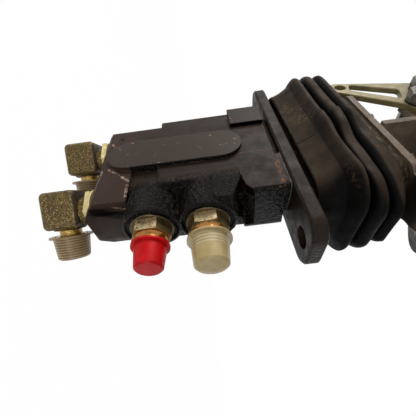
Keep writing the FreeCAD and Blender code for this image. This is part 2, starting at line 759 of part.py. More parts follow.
def boot_skin(inset, stretch):
    wires = []
    sections = boot_sections(inset)
    for i, (z, half_x, front, rear, r) in enumerate(sections):
        if i == 0:
            z = z - stretch
        if i == len(sections) - 1:
            z = z + stretch
        wires.append(rounded_outline(-half_x, half_x, front, rear, r, z))
    return Part.makeLoft(wires, True, True)


def boot():
    # The folded skin, with a web and a bead inside its lower edge that grip the plinth
    skin = boot_skin(0, 0).cut(boot_skin(boot_wall, 1))
    web = rounded_plate(-boot_web_half_x, boot_web_half_x, -boot_web_half_y, boot_web_half_y, boot_bead_r,
                        boot_web_z[0], boot_web_z[1])
    bead = rounded_plate(-boot_bead_half_x, boot_bead_half_x, -boot_bead_half_y, boot_bead_half_y, boot_bead_r,
                         flange_thickness + soft_gap, boot_web_z[1])
    half_x = plinth_width / 2 + soft_gap
    half_y = plinth_length / 2 + soft_gap
    room = rounded_plate(-half_x, half_x, -half_y, half_y, plinth_corner_r + soft_gap, 0, boot_web_z[1] + 1)
    return skin.fuse(web.fuse(bead).cut(room)).removeSplitter()


def pivot_pin():
    half = ear_inner_x + ear_thickness + pin_overhang
    pin = rod(pivot_r, 2 * half, vec(-half, 0, pivot_z), X)
    pin = pin.makeChamfer(0.6, pin.Edges[0:1] + pin.Edges[2:3])
    for side in (-1, 1):
        x = side * (ear_inner_x + ear_thickness + 0.1)
        start = min(x, x + side * (circlip_thickness + 0.1))
        pin = pin.cut(tube(pivot_r + 1, pivot_r - 0.5, circlip_thickness + 0.1, vec(start, 0, pivot_z), X))
    return pin


def pivot_circlips():
    clips = []
    for side in (-1, 1):
        x = side * (ear_inner_x + ear_thickness + 0.15)
        start = min(x, x + side * circlip_thickness)
        ring = tube(pivot_r + 2.2, pivot_r - 0.45, circlip_thickness, vec(start, 0, pivot_z), X)
        mouth = box(start - 1, start + circlip_thickness + 1, -2.2, 2.2, pivot_z - 12, pivot_z)
        clips.append(ring.cut(mouth))
    return group(clips)


def base_screw_places():
    return [(x, y) for y in base_screw_rows_y for x in (-base_screw_x, base_screw_x)]


def rocker():
    hub = rod(rocker_hub_r, 2 * rocker_hub_half_x, vec(-rocker_hub_half_x, 0, pivot_z), X)
    web = prism([(-rocker_hub_r, pivot_z), (-rocker_hub_r - 6.5, rocker_beam_bottom_z + 1),
                 (rocker_hub_r + 6.5, rocker_beam_bottom_z + 1), (rocker_hub_r, pivot_z)],
                X, -rocker_hub_half_x + 1.5, rocker_hub_half_x - 1.5)
    beam = rounded_plate(-rocker_hub_half_x, rocker_hub_half_x, -rocker_beam_half_y, rocker_beam_half_y,
                         rocker_hub_half_x - 1, rocker_beam_bottom_z, rocker_plate_bottom_z + 1)
    plate = rounded_plate(-rocker_plate_half_x, rocker_plate_half_x, rocker_front_y, rocker_rear_y,
                          rocker_corner_r, rocker_plate_bottom_z, rocker_top_z)
    shape = hub.fuse([web, beam, plate])
    shape = shape.cut(rod(pivot_r + bush_wall, reach, vec(-reach / 2, 0, pivot_z), X))
    for side in (-1, 1):
        y = spool_y(side)
        shape = shape.cut(rod(adjuster_thread_r + seat_gap, 30, vec(0, y, rocker_beam_bottom_z - 1)))
    for x, y in base_screw_places():
        shape = shape.cut(rod(base_screw_r + seat_gap, 30, vec(x, y, rocker_beam_bottom_z - 1)))
    return shape.removeSplitter()


def rocker_bushes():
    bushes = []
    for side in (-1, 1):
        start = min(0.5 * side, side * rocker_hub_half_x)
        sleeve = tube(pivot_r + bush_wall, pivot_r + running, rocker_hub_half_x - 0.5, vec(start, 0, pivot_z), X)
        x = min(side * rocker_hub_half_x, side * (rocker_hub_half_x + bush_flange_thickness))
        flange = tube(bush_flange_r, pivot_r + running, bush_flange_thickness, vec(x, 0, pivot_z), X)
        bushes.append(sleeve.fuse(flange))
    return group(bushes)


def adjusters():
    screws = []
    for side in (-1, 1):
        y = spool_y(side)
        ball = Part.makeSphere(adjuster_ball_r, vec(0, y, pivot_z))
        neck_top = rocker_beam_bottom_z - adjuster_nut_height - 0.3
        neck = rod(adjuster_neck_r, neck_top - pivot_z, vec(0, y, pivot_z))
        thread = rod(adjuster_thread_r, rocker_top_z - 1 - neck_top, vec(0, y, neck_top))
        socket = hex_prism(adjuster_thread_r, 4, vec(0, y, rocker_top_z - 5))
        screws.append(ball.fuse([neck, thread]).cut(socket))
    return group(screws)


def adjuster_locknuts():
    nuts = []
    for side in (-1, 1):
        base = vec(0, spool_y(side), rocker_beam_bottom_z - adjuster_nut_height)
        nut = hex_prism(adjuster_nut_hex, adjuster_nut_height, base)
        nuts.append(nut.cut(rod(adjuster_thread_r + seat_gap, adjuster_nut_height, base)))
    return group(nuts)


def tread_frame():
    # The tread's own frame: +Y up the slope from the heel edge, +Z square to it, at the tread plate's underside
    return FreeCAD.Placement(vec(0, tread_heel_y, tread_heel_z), FreeCAD.Rotation(X, tread_tilt))


def tread_height(y):
    # Height of the tread plate's underside above a place y
    return tread_heel_z + (y - tread_heel_y) * tan(tilt)


def pedal_base_plate():
    plate = rounded_plate(-base_half_x, base_half_x, base_front_y, base_rear_y, base_corner_r,
                          rocker_top_z, base_top_z)
    plate = plate.makeChamfer(base_bevel, [e for e in plate.Edges if abs(e.CenterOfMass.z - base_top_z) < 1e-6])
    # A tongue runs on from the plate's front end, bends up and meets the tread's underside.
    # On the right it grows out of the plate with a large hollow round.
    bend_y = base_front_y - tongue_neck_r
    outer_y = bend_y - tongue_bend_r
    inner_y = outer_y + base_thickness
    inner_r = tongue_bend_r - base_thickness
    bend_z = rocker_top_z + tongue_bend_r
    start_y = base_front_y + base_corner_r

    def at(y, z):
        return vec(tongue_left_x, y, z)

    def on_bend(r):
        return at(bend_y - r * sqrt(0.5), bend_z - r * sqrt(0.5))
    edges = [Part.LineSegment(at(start_y, rocker_top_z), at(bend_y, rocker_top_z)),
             Part.Arc(at(bend_y, rocker_top_z), on_bend(tongue_bend_r), at(outer_y, bend_z)),
             Part.LineSegment(at(outer_y, bend_z), at(outer_y, tread_height(outer_y))),
             Part.LineSegment(at(outer_y, tread_height(outer_y)), at(inner_y, tread_height(inner_y))),
             Part.LineSegment(at(inner_y, tread_height(inner_y)), at(inner_y, bend_z)),
             Part.Arc(at(inner_y, bend_z), on_bend(inner_r), at(bend_y, base_top_z)),
             Part.LineSegment(at(bend_y, base_top_z), at(start_y, base_top_z)),
             Part.LineSegment(at(start_y, base_top_z), at(start_y, rocker_top_z))]
    tongue = Part.Face(Part.Wire([e.toShape() for e in edges])).extrude(X * (tongue_right_x - tongue_left_x))
    neck = box(tongue_right_x - 1, tongue_right_x + tongue_neck_r, bend_y, base_front_y + 1, rocker_top_z, base_top_z)
    neck = neck.cut(rod(tongue_neck_r, base_thickness, vec(tongue_right_x + tongue_neck_r, bend_y, rocker_top_z)))
    shape = plate.fuse([tongue, neck])
    for x, y in base_screw_places():
        shape = shape.cut(rod(base_screw_r + 0.3, base_thickness + 1, vec(x, y, rocker_top_z - 0.5)))
    return shape.removeSplitter()


def base_plate_screws():
    screws = []
    for x, y in base_screw_places():
        base = vec(x, y, base_top_z)
        head = chamfered_hex(base_screw_head_hex, base_screw_head_height, base, Z, 30)
        shank = rod(base_screw_r, base_top_z - rocker_plate_bottom_z + 1.5, base, vec(0, 0, -1))
        screws.append(head.fuse(shank))
    return group(screws)


def bracket_front_wall():
    rear = front_wall_y + bracket_wall
    top_front = tread_height(front_wall_y)
    top_rear = tread_height(rear)
    return prism([(front_wall_y, base_top_z), (rear, base_top_z), (rear, top_rear), (front_wall_y, top_front)],
                 X, -wall_half_x, wall_half_x)


def bracket_rear_lug():
    # A gusset that stands on the plate's right half and stays clear of it on the arm's side
    rear = rear_lug_y + bracket_wall
    wall = prism([(cheek_x, rear_lug_low_z), (rear_lug_knee_x, rear_lug_low_z), (rear_lug_foot_x, base_top_z),
                  (wall_half_x, base_top_z), (wall_half_x, reach), (cheek_x, reach)], Y, rear_lug_y, rear)
    above = prism([(rear_lug_y - 1, tread_height(rear_lug_y - 1)), (rear + 1, tread_height(rear + 1)),
                   (rear + 1, reach + 1), (rear_lug_y - 1, reach + 1)], X, -wall_half_x - 1, wall_half_x + 1)
    y, z = link_bolt_lower
    room = link_nut_height + 2
    nut_room_r = link_bolt_hex / sqrt(3) + 1
    nut_room = rod(nut_room_r, room, vec(cheek_x, y, z), X)
    nut_room = nut_room.fuse(box(cheek_x, cheek_x + room, y - nut_room_r, y + nut_room_r, z, reach))
    return wall.cut(above).cut(nut_room)


def bracket_cheek():
    # The plate that the link arm is bolted to, under the tread
    rear_wall_y = front_wall_y + bracket_wall
    rear_end_y = link_bolt_upper[0] + 12
    points = [(rear_wall_y, cheek_low_z), (rear_lug_y + 6, cheek_low_z), (rear_end_y - 16, cheek_low_z + 10),
              (rear_end_y, cheek_low_z + 12), (rear_end_y, tread_height(rear_end_y)),
              (rear_wall_y, tread_height(rear_wall_y))]
    plate = prism(points, X, cheek_x - bracket_wall, cheek_x)
    for y, z in (link_bolt_upper, link_bolt_lower):
        plate = plate.cut(rod(link_bolt_r + 0.3, bracket_wall, vec(cheek_x - bracket_wall, y, z), X))
    return plate


def rounded_prism(corners, r, x0, x1):
    # A plate across X whose corners, given as (y, z), are all rounded alike
    shape = prism(list(corners), X, x0, x1)
    return shape.makeFillet(r, edges_along(shape, X, lambda c: True))


def link_arm():
    x = link_outer_x
    rear_top_y, top_z = link_rear_top
    # The top follows the tread's slope, and the front edge flattens above the lower bolt
    corners = [link_rear_low, link_rear_top, (rear_top_y - 16, top_z), (link_front_edge_y, top_z - 9),
               (link_front_edge_y, link_front_bend[1] + 2.5), link_front_bend, link_front_low]
    arm = rounded_prism(corners, link_corner_r, x, x + link_arm_thickness)
    arm = arm.cut(rounded_prism(link_slot_corners, link_slot_corner_r, x - 1, x + link_arm_thickness + 1))
    arm = arm.cut(rod(link_hole_r, link_arm_thickness, vec(x, link_hole_y, link_hole_z), X))
    for y, z in (link_bolt_upper, link_bolt_lower):
        arm = arm.cut(rod(link_bolt_r + 0.3, link_arm_thickness, vec(x, y, z), X))
    return arm.makeChamfer(0.5, [e for e in arm.Edges if abs(e.CenterOfMass.x - x) < 1e-6])


def link_arm_washers():
    rings = []
    for y, z in (link_bolt_upper, link_bolt_lower):
        rings.append(tube(link_washer_r, link_bolt_r + 0.3, link_washer_thickness,
                          vec(link_outer_x - link_washer_thickness, y, z), X))
    return group(rings)


def link_arm_bolts():
    bolts = []
    seat = link_outer_x - link_washer_thickness
    for y, z in (link_bolt_upper, link_bolt_lower):
        head = chamfered_hex(link_bolt_hex, link_bolt_head, vec(seat, y, z), vec(-1, 0, 0), 12)
        shank = rod(link_bolt_r, cheek_x + link_nut_height + 1 - seat, vec(seat, y, z), X)
        bolts.append(head.fuse(shank))
    return group(bolts)


def link_arm_nuts():
    nuts = []
    for y, z in (link_bolt_upper, link_bolt_lower):
        nut = hex_prism(link_bolt_hex, link_nut_height, vec(cheek_x, y, z), X)
        nuts.append(nut.cut(rod(link_bolt_r + seat_gap, link_nut_height, vec(cheek_x, y, z), X)))
    return group(nuts)


def tread_screw_places():
    across = tread_width / 2 - tread_screw_edge
    return [(x, y) for x in (-across, across) for y in (tread_screw_end, tread_length - tread_screw_end)]


def tread_plate():
    half_x = tread_width / 2
    plate = two_end_plate(-half_x, half_x, 0, tread_length, tread_heel_corner_r, tread_toe_corner_r,
                          0, tread_thickness)
    for x, y in tread_screw_places():
        plate = plate.cut(rod(tread_screw_r + 0.3, tread_thickness, vec(x, y, 0)))
    # A turned-up toe stop at the top end
    stop_y = tread_length - toe_stop_inset
    stop_x = half_x - toe_stop_margin
    lip = rounded_plate(-stop_x, stop_x, stop_y, stop_y + tread_thickness, tread_thickness / 2 - 0.1,
                        tread_thickness - 1, tread_thickness + toe_stop_height)
    shape = plate.fuse(lip)
    shape.Placement = tread_frame()
    return shape


def tread_rubber():
    m = tread_rubber_margin
    half_x = tread_width / 2 - m
    end_y = tread_length - toe_stop_inset - m
    top = tread_thickness + tread_rubber_thickness
    pad = two_end_plate(-half_x, half_x, m, end_y, tread_heel_corner_r - m, tread_toe_corner_r - m,
                        tread_thickness, top)
    pitch = (end_y - 4 * m) / tread_rib_count
    for i in range(tread_rib_count):
        y = 2.5 * m + pitch * i
        pad = pad.cut(box(-tread_width, tread_width, y, y + pitch * 0.42, top - tread_rib_height, top + 1))
    for x, y in tread_screw_places():
        pad = pad.cut(rod(tread_screw_r * 1.9 + 0.3, tread_rubber_thickness, vec(x, y, tread_thickness)))
    pad.Placement = tread_frame()
    return pad


def tread_screws():
    screws = []
    for x, y in tread_screw_places():
        head = Part.makeCone(tread_screw_r * 1.9, tread_screw_r * 1.2, 2.8, vec(x, y, tread_thickness))
        shank = rod(tread_screw_r, tread_thickness + tread_nut_height + 2, vec(x, y, -tread_nut_height - 2))
        screw = head.fuse(shank)
        screw.Placement = tread_frame()
        screws.append(screw)
    return group(screws)


def tread_nuts():
    nuts = []
    for x, y in tread_screw_places():
        nut = hex_prism(tread_nut_hex, tread_nut_height, vec(x, y, -tread_nut_height))
        nut = nut.cut(rod(tread_screw_r + seat_gap, tread_nut_height, vec(x, y, -tread_nut_height)))
        nut.Placement = tread_frame()
        nuts.append(nut)
    return group(nuts)


os.makedirs("parts", exist_ok=True)
save("valve_body", valve_body())
save("mounting_flange", mounting_flange())
save("flange_gasket", flange_gasket())
save("flange_screws", flange_screws())
save("guide_o_rings", guide_o_rings())
save("plunger_wipers", plunger_wipers())
save("pressure_port_adapter", straight_adapter(pressure_port_z, pressure_thread_r, pressure_thread_length))
save("tank_port_adapter", straight_adapter(tank_port_z, tank_thread_r, tank_thread_length))
save("adapter_o_rings", adapter_o_rings())
save("red_cap", push_on_cap(pressure_cap_rim_r, pressure_cap_mouth_r, pressure_cap_end_r, pressure_cap_length,
                            vec(0, cap_rim_y, pressure_port_z), vec(0, -1, 0)))
save("clear_cap", push_on_cap(tank_cap_rim_r, tank_cap_mouth_r, tank_cap_end_r, tank_cap_length,
                              vec(0, cap_rim_y, tank_port_z), vec(0, -1, 0)))
save("elbow_locknuts", elbow_locknuts())
save("elbow_washers", elbow_washers())
save("elbow_o_rings", elbow_o_rings())
for name, side in SIDES.items():
    save(name + "_plunger_guide", plunger_guide(side))
    save(name + "_plunger", plunger(side))
    save(name + "_spring_seat", spring_seat(side))
    save(name + "_spool", spool(side))
    save(name + "_return_spring", helical_spring(return_mean_r, return_wire_r, return_turns,
                                                 chamber_end_z, seat_bottom_z, spool_y(side)))
    save(name + "_metering_spring", helical_spring(metering_mean_r, metering_wire_r, metering_turns,
                                                   spool_collar_top_z, seat_bottom_z, spool_y(side)))
    save(name + "_elbow", elbow(side))
    save(name + "_elbow_cap", elbow_cap(side))
save("boot", boot())
save("pivot_pin", pivot_pin())
save("pivot_circlips", pivot_circlips())
save("rocker", rocker())
save("rocker_bushes", rocker_bushes())
save("adjusters", adjusters())
save("adjuster_locknuts", adjuster_locknuts())
save("pedal_base_plate", pedal_base_plate())
save("base_plate_screws", base_plate_screws())
save("bracket_front_wall", bracket_front_wall())
save("bracket_rear_lug", bracket_rear_lug())
save("bracket_cheek", bracket_cheek())
save("link_arm", link_arm())
save("link_arm_washers", link_arm_washers())
save("link_arm_bolts", link_arm_bolts())
save("link_arm_nuts", link_arm_nuts())
save("tread_plate", tread_plate())
save("tread_rubber", tread_rubber())
save("tread_screws", tread_screws())
save("tread_nuts", tread_nuts())
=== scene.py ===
import bmesh
import bpy
from math import cos, exp, hypot, log, pi, radians, sin, sqrt
from mathutils import Matrix, Vector, noise


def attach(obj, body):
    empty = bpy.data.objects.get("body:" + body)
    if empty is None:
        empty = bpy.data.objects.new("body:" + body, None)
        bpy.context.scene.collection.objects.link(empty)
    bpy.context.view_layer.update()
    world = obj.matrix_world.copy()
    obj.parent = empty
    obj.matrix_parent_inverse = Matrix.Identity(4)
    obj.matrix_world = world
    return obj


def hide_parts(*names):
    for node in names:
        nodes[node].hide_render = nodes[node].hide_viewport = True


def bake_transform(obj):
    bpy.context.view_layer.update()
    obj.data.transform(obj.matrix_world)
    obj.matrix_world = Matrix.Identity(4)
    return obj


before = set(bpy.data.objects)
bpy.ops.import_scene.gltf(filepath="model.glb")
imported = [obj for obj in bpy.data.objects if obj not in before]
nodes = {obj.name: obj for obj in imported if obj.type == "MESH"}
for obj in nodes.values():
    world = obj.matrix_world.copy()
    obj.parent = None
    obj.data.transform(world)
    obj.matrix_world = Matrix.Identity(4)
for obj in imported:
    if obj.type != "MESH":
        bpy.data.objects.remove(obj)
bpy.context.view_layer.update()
scene = bpy.context.scene
scene.view_settings.view_transform = "Standard"

# Places and sizes on the valve, in mm
MM = 0.001
PORT_Y = -49.5          # face of the two ports, and their heights on it
TANK_Z = -51.6
FITTING_Z = -86.7
BOSS_R = 18.6           # the round bosses behind the ports
ELBOW_Y = 27.4          # the elbows' studs lie this far each side of the middle
HEX_FLAT = 11.3         # the fittings' hexagon: half across its flats, its turned corners and its turn
HEX_CORNER = 12.95
HEX_TURN = 34.0
BORE_R = 5.2
PAD_X = -21.7           # the machined pads' level and the casting's side behind them
BODY_X = -18.6
SEAT_Y = 22.4           # front edge of the raised seat beside the flange
COLLAR_Z = -28.0        # the collar lies above this height and the bottom block below the next
BLOCK_Z = -98.3
CORNER_R = 3.3          # the cast front's round edge

# The casting's front skin: its reach, its cells and its thickness
SKIN_Y = (-49.3, -14.0)
SKIN_Z = (-98.2, -28.4)
SKIN_CELLS = (78, 150)
SKIN_THICKNESS = 1.6
SKIN_LEAST = 0.2
SKIN_MOST = 19.4        # how far out the skin stands at most
SKIN_BLEND = 1.3        # size of the fillets between its forms
WALL_OUT = 18.85        # how far out the upper wall, the block below it and the flank stand
BLOCK_OUT = 16.35
FLANK_OUT = 18.75

# The boot's rings: height, half width, front end, rear end, corner radius
BOOT_SKIRT = [
    (10.4, 21.8, -58.6, 65.0, 16.0), (13.5, 23.0, -60.0, 65.4, 17.0), (17.0, 24.6, -61.4, 66.0, 18.0),
    (20.0, 26.3, -62.4, 66.6, 18.5), (23.2, 28.4, -63.8, 67.2, 19.0)]
BOOT_CRESTS = [
    (28.6, 33.4, -69.7, 70.6, 19.0), (38.5, 33.4, -71.4, 72.9, 20.5), (49.2, 32.2, -70.8, 74.3, 20.5)]
BOOT_VALLEYS = [
    BOOT_SKIRT[-1], (33.4, 26.0, -62.0, 63.4, 16.0), (44.0, 25.2, -60.8, 63.0, 16.0),
    (54.6, 25.1, -54.3, 41.8, 12.5)]
BOOT_COLLAR = [
    BOOT_VALLEYS[-1], (56.0, 25.0, -54.0, 41.5, 12.5), (58.4, 25.0, -54.0, 41.5, 12.5),
    (61.7, 23.1, -52.1, 39.6, 10.6)]
BOOT_WALL = 2.2
BOOT_POINTS = 420       # round each ring
FOLD_STEPS = 10         # rings from a crest to a valley
FOLD_PROFILE = (2.3, 0.55)      # how fat a fold is, and the same for the first and last flank
FIRST_PROFILE = (1.3, 1.0)
LAST_PROFILE = (1.7, 0.9)

# How the folds' sides swell (amount, middle, reach) and taper towards the front (amount, start, reach)
FOLD_SIDES = [
    ([(0.042, -8, 9), (0.035, -53, 9), (-0.015, -29, 9)], []),
    ([(0.035, 0, 15)], [(0.14, -7, 20)]),
    ([], [(0.13, 3, 22), (0.12, -30, 34)])]
FOLD_LEVELS = [20, 28, 38.5, 49.5, 55.5]        # they grow and fade between these heights

# The springs' kinds, with the heights of their lower and upper ends
SPRINGS = [("return", -61.5, -36.0), ("metering", -66.8, -36.0)]

# The mould's parting line bends from one place on the side to another between two heights
SEAM_Z = (20, 27)
SEAM_Y = (-13, 4)

# Marks on a surface: from and to as places in the photograph, then inner and outer reach in mm
BODY_MARKS = {
    "rust": [
        ((273, 149), (278, 163), 0.5, 2.1), ((278, 163), (285, 183), 0.8, 2.7),
        ((285, 183), (281, 185.5), 0.4, 1.5), ((229, 130.5), (235.5, 134), 0.2, 0.9),
        ((235.5, 134), (239.3, 139.5), 0.3, 1.1), ((239.3, 139.5), (237.8, 146), 0.3, 1.2),
        ((237.8, 146), (232, 149.5), 0.1, 0.8), ((237, 153.5), (255, 151), 0.1, 0.8),
        ((255, 151), (272, 148.5), 0.1, 0.7), ((109.5, 205.5), (110, 206), 0.2, 0.9)],
    "chip": [
        ((108.7, 170), (119, 175), 0.5, 1.3), ((122, 177), (129, 181), 0.5, 1.4),
        ((127, 185), (125, 197), 0.5, 1.3), ((93, 203), (125, 209), 0.3, 1.0),
        ((90, 208), (102, 172), 0.3, 1.0), ((113, 145), (121, 150), 0.2, 1.5),
        ((129, 146), (130, 146.5), 0.1, 0.7), ((136, 154), (137, 154), 0.1, 0.7),
        ((186.5, 143), (187, 143), 0.1, 0.7), ((196, 145), (201, 148), 0.1, 0.8),
        ((226, 118), (228, 110), 0.2, 0.9)],
    # dark: near-black lines, mostly painted shade in the undercut below the facets and along a facet's lower
    # edge
    "dark": [
        ((122, 139), (123, 140), 0.5, 1.5), ((158, 165), (158, 188), 0.3, 1.0),
        ((250, 191), (288, 194), 1.0, 5.0), ((271.4, 206.8), (271.7, 207.2), 0.5, 1.1),
        ((93, 212), (122, 216), 1.5, 3.2), ((240, 178), (243, 200), 0.8, 2.5)]}
FLANGE_MARKS = {"chip": [((254, 94), (257, 106), 0.6, 2.2), ((313, 189), (313.5, 189.5), 0.1, 0.7)]}
MARK_LOOKS = {"rust": ("633f26", 0.47), "chip": ("a38b7b", 0.44), "dark": ("050404", 0.34)}
BOOT_MARKS = [  # the same, with a colour and how broken the mark is
    ((347, 185), (350, 232), 4.0, 9.0, "070606", 0.30), ((346, 162), (358, 184), 1.5, 4.0, "33241b", 0.50),
    ((379, 144), (380, 145), 0.4, 1.6, "b9772f", 0.40), ((350, 112), (351, 113), 0.2, 0.6, "8b7a5c", 0.40)]

# The photograph's view: the object lies with its plungers' axis to the right
RIGHT = Vector((0.1067, -0.0713, 0.9917)).normalized()
FORWARD = Vector((0.7501, 0.6603, -0.0332)).normalized()
UP = RIGHT.cross(FORWARD).normalized()
EYE = Vector((-0.1217, -0.1457, -0.0455))
PIXELS = 416
FOCAL = 250             # in pixels of that frame
SENSOR = 36             # in mm
NEAREST = 0.005
FLOOR_Z = -0.30         # the ground lies well below the elbows
FLOOR_HALF = 5
FLOOR_SHARE = 0.99      # how much of the plain white is the floor's own, the rest takes the shadow
MISSED = Vector((9, 9, 9))      # stands for a mark's end that meets no surface
SHORTEST = 1e-10        # a mark's squared length counts as this much at least

# The light, in metres and watts
WARM = (1.0, 0.97, 0.935)
FILL = (1.0, 0.965, 0.92, 1)
FILL_STRENGTH = 0.16
AIM = Vector((0, 0, -0.03))
LAMPS = [  # name, place, size, power
    ("key", (-0.75, 0.60, 0.30), 0.6, 8), ("front", (-0.45, -0.90, -0.25), 0.7, 5.0),
    ("top", (0.1, 0.3, 1.0), 0.8, 1.6)]


def rgb(text):
    # An sRGB colour as Blender's linear numbers
    parts = [int(text[i:i + 2], 16) / 255 for i in (0, 2, 4)]
    return [c / 12.92 if c <= 0.04045 else ((c + 0.055) / 1.055) ** 2.4 for c in parts] + [1.0]


def smooth(t):
    t = min(1.0, max(0.0, t))
    return t * t * (3 - 2 * t)


def over(value):
    return max(0.0, value)


def show(name, data):
    obj = bpy.data.objects.new(name, data)
    scene.collection.objects.link(obj)
    return obj


def camera():
    data = bpy.data.cameras.new("camera")
    data.sensor_width = SENSOR
    data.lens = SENSOR * FOCAL / PIXELS
    data.clip_start = NEAREST
    place = Matrix((RIGHT, UP, -FORWARD)).transposed().to_4x4()
    place.translation = EYE
    obj = show("camera", data)
    obj.matrix_world = place
    scene.camera = obj


def hit(node, px, py):
    # The place on a piece's surface under a pixel of the photograph
    middle = PIXELS / 2
    ray = FORWARD + RIGHT * ((px - middle) / FOCAL) - UP * ((py - middle) / FOCAL)
    piece = nodes[node] if isinstance(node, str) else node
    found, place, normal, face = piece.ray_cast(EYE, ray.normalized())
    return place if found else MISSED


class Finish:
    # A node material for one surface, built step by step
    def __init__(self, name):
        self.mat = bpy.data.materials.new(name)
        self.mat.use_nodes = True
        self.tree = self.mat.node_tree
        self.shader = self.tree.nodes["Principled BSDF"]
        self.place = self.add("ShaderNodeTexCoord").outputs["Object"]

    def put(self, socket, value):
        if isinstance(value, bpy.types.NodeSocket):
            self.tree.links.new(value, socket)
        else:
            socket.default_value = value

    def add(self, kind, **settings):
        made = self.tree.nodes.new(kind)
        for key, value in settings.items():
            setattr(made, key, value)
        return made

    def math(self, how, a, b=0.0, clamp=False):
        made = self.add("ShaderNodeMath", operation=how, use_clamp=clamp)
        self.put(made.inputs[0], a)
        self.put(made.inputs[1], b)
        return made.outputs[0]

    def times(self, first, *others):
        for other in others:
            first = self.math("MULTIPLY", first, other)
        return first

    def plus(self, a, b):
        return self.math("ADD", a, b)

    def larger(self, a, b):
        return self.math("MAXIMUM", a, b)

    def vector(self, how, a, b=(0, 0, 0), scale=1.0):
        made = self.add("ShaderNodeVectorMath", operation=how)
        self.put(made.inputs[0], a)
        self.put(made.inputs[1], b)
        if how == "SCALE":
            self.put(made.inputs["Scale"], scale)
        return made.outputs["Value" if how in ("DOT_PRODUCT", "DISTANCE") else "Vector"]

    def noise(self, size, detail=4.0, rough=0.6, shift=0.0, stretch=None):
        # size is the grain in millimetres
        made = self.add("ShaderNodeTexNoise", noise_dimensions="4D")
        where = self.place
        if stretch is not None:
            where = self.vector("MULTIPLY", self.place, stretch)
        self.put(made.inputs["Vector"], where)
        made.inputs["W"].default_value = shift
        made.inputs["Scale"].default_value = 1 / (size * MM)
        made.inputs["Detail"].default_value = detail
        made.inputs["Roughness"].default_value = rough
        return made.outputs["Fac"]

    def ramp(self, value, low, high, out_low=0.0, out_high=1.0):
        made = self.add("ShaderNodeMapRange", interpolation_type="SMOOTHSTEP")
        self.put(made.inputs["Value"], value)
        made.inputs["From Min"].default_value = low
        made.inputs["From Max"].default_value = high
        made.inputs["To Min"].default_value = out_low
        made.inputs["To Max"].default_value = out_high
        return made.outputs["Result"]

    def mix(self, amount, a, b):
        made = self.add("ShaderNodeMix", data_type="RGBA")
        self.put(made.inputs[0], amount)
        self.put(made.inputs[6], a)
        self.put(made.inputs[7], b)
        return made.outputs[2]

    def tint(self, colour, mask, text, amount=1.0):
        # Lays another colour over the first where the mask is
        if amount != 1.0:
            mask = self.times(mask, amount)
        return self.mix(mask, colour, rgb(text))

    def blend(self, amount, a, b):
        made = self.add("ShaderNodeMix", data_type="FLOAT")
        self.put(made.inputs[0], amount)
        self.put(made.inputs[2], a)
        self.put(made.inputs[3], b)
        return made.outputs[0]

    def axis(self, which):
        # One coordinate of the surface, in millimetres
        split = self.add("ShaderNodeSeparateXYZ")
        self.put(split.inputs[0], self.place)
        return self.times(split.outputs["XYZ".index(which)], 1 / MM)

    def facing(self, direction, low, high):
        # How far the surface faces a fixed direction
        normal = self.add("ShaderNodeNewGeometry").outputs["Normal"]
        return self.ramp(self.vector("DOT_PRODUCT", normal, direction), low, high)

    def stroke(self, a, b, inner, outer):
        # A mask round the line from a to b, in millimetres
        along = b - a
        ahead = self.vector("SUBTRACT", self.place, a)
        share = self.vector("DOT_PRODUCT", ahead, along)
        share = self.math("MULTIPLY", share, 1 / max(SHORTEST, along.length_squared), clamp=True)
        gap = self.vector("DISTANCE", ahead, self.vector("SCALE", along, scale=share))
        return self.ramp(gap, outer * MM, inner * MM)

    def bevel(self, radius):
        made = self.add("ShaderNodeBevel", samples=6)
        made.inputs["Radius"].default_value = radius * MM
        return made.outputs["Normal"]

    def edges(self, radius, low, high):
        # Where the surface turns sharply
        normal = self.add("ShaderNodeNewGeometry").outputs["Normal"]
        return self.ramp(self.vector("DOT_PRODUCT", self.bevel(radius), normal), high, low)

    def done(self, colour, rough, height, strength, depth, edge=0.0, **plain):
        # Links the colour, roughness and bump, and sets what is plain all over on the shader itself
        self.put(self.shader.inputs["Base Color"], colour)
        self.put(self.shader.inputs["Roughness"], rough)
        for key, value in plain.items():
            self.put(self.shader.inputs[key.replace("_", " ")], value)
        bump = self.add("ShaderNodeBump")
        bump.inputs["Strength"].default_value = strength
        bump.inputs["Distance"].default_value = depth * MM
        self.put(bump.inputs["Height"], height)
        if edge:
            self.put(bump.inputs["Normal"], self.bevel(edge))
        self.put(self.shader.inputs["Normal"], bump.outputs["Normal"])
        return self.mat


def dress(finish, *names):
    for name in names:
        mesh = nodes[name].data
        mesh.materials.clear()
        mesh.materials.append(finish)


def skin_and_front_shade_mask(f, front_facing_shade):
    # Where the body keeps its rough cast skin: in front, between the bottom block and the collar; faces
    # turned towards the front join it, and there its dark colour is painted shade
    z = f.axis("Z")
    skin_and_front_shade = f.larger(f.ramp(f.axis("Y"), -22, -33), front_facing_shade)
    skin_and_front_shade = f.times(skin_and_front_shade, f.ramp(z, BLOCK_Z - 1.2, BLOCK_Z))
    skin_and_front_shade = f.times(skin_and_front_shade, f.larger(f.ramp(z, COLLAR_Z - 0.2, COLLAR_Z - 1.0), front_facing_shade))
    return f.times(skin_and_front_shade, f.ramp(f.axis("Y"), 0.0, -4.0))


def brown_zones(f, colour):
    # The collar and the bottom block have browner paint than the walls
    z = f.axis("Z")
    collar = f.times(f.ramp(z, COLLAR_Z - 0.4, COLLAR_Z + 0.4), f.ramp(f.axis("Y"), 4.0, -2.0))
    colour = f.tint(colour, collar, "1b120d", 0.9)
    block = f.times(f.ramp(z, BLOCK_Z, BLOCK_Z - 0.9), f.ramp(f.axis("X"), -12.0, -17.5))
    return f.tint(colour, block, "3a2b25", 0.7)


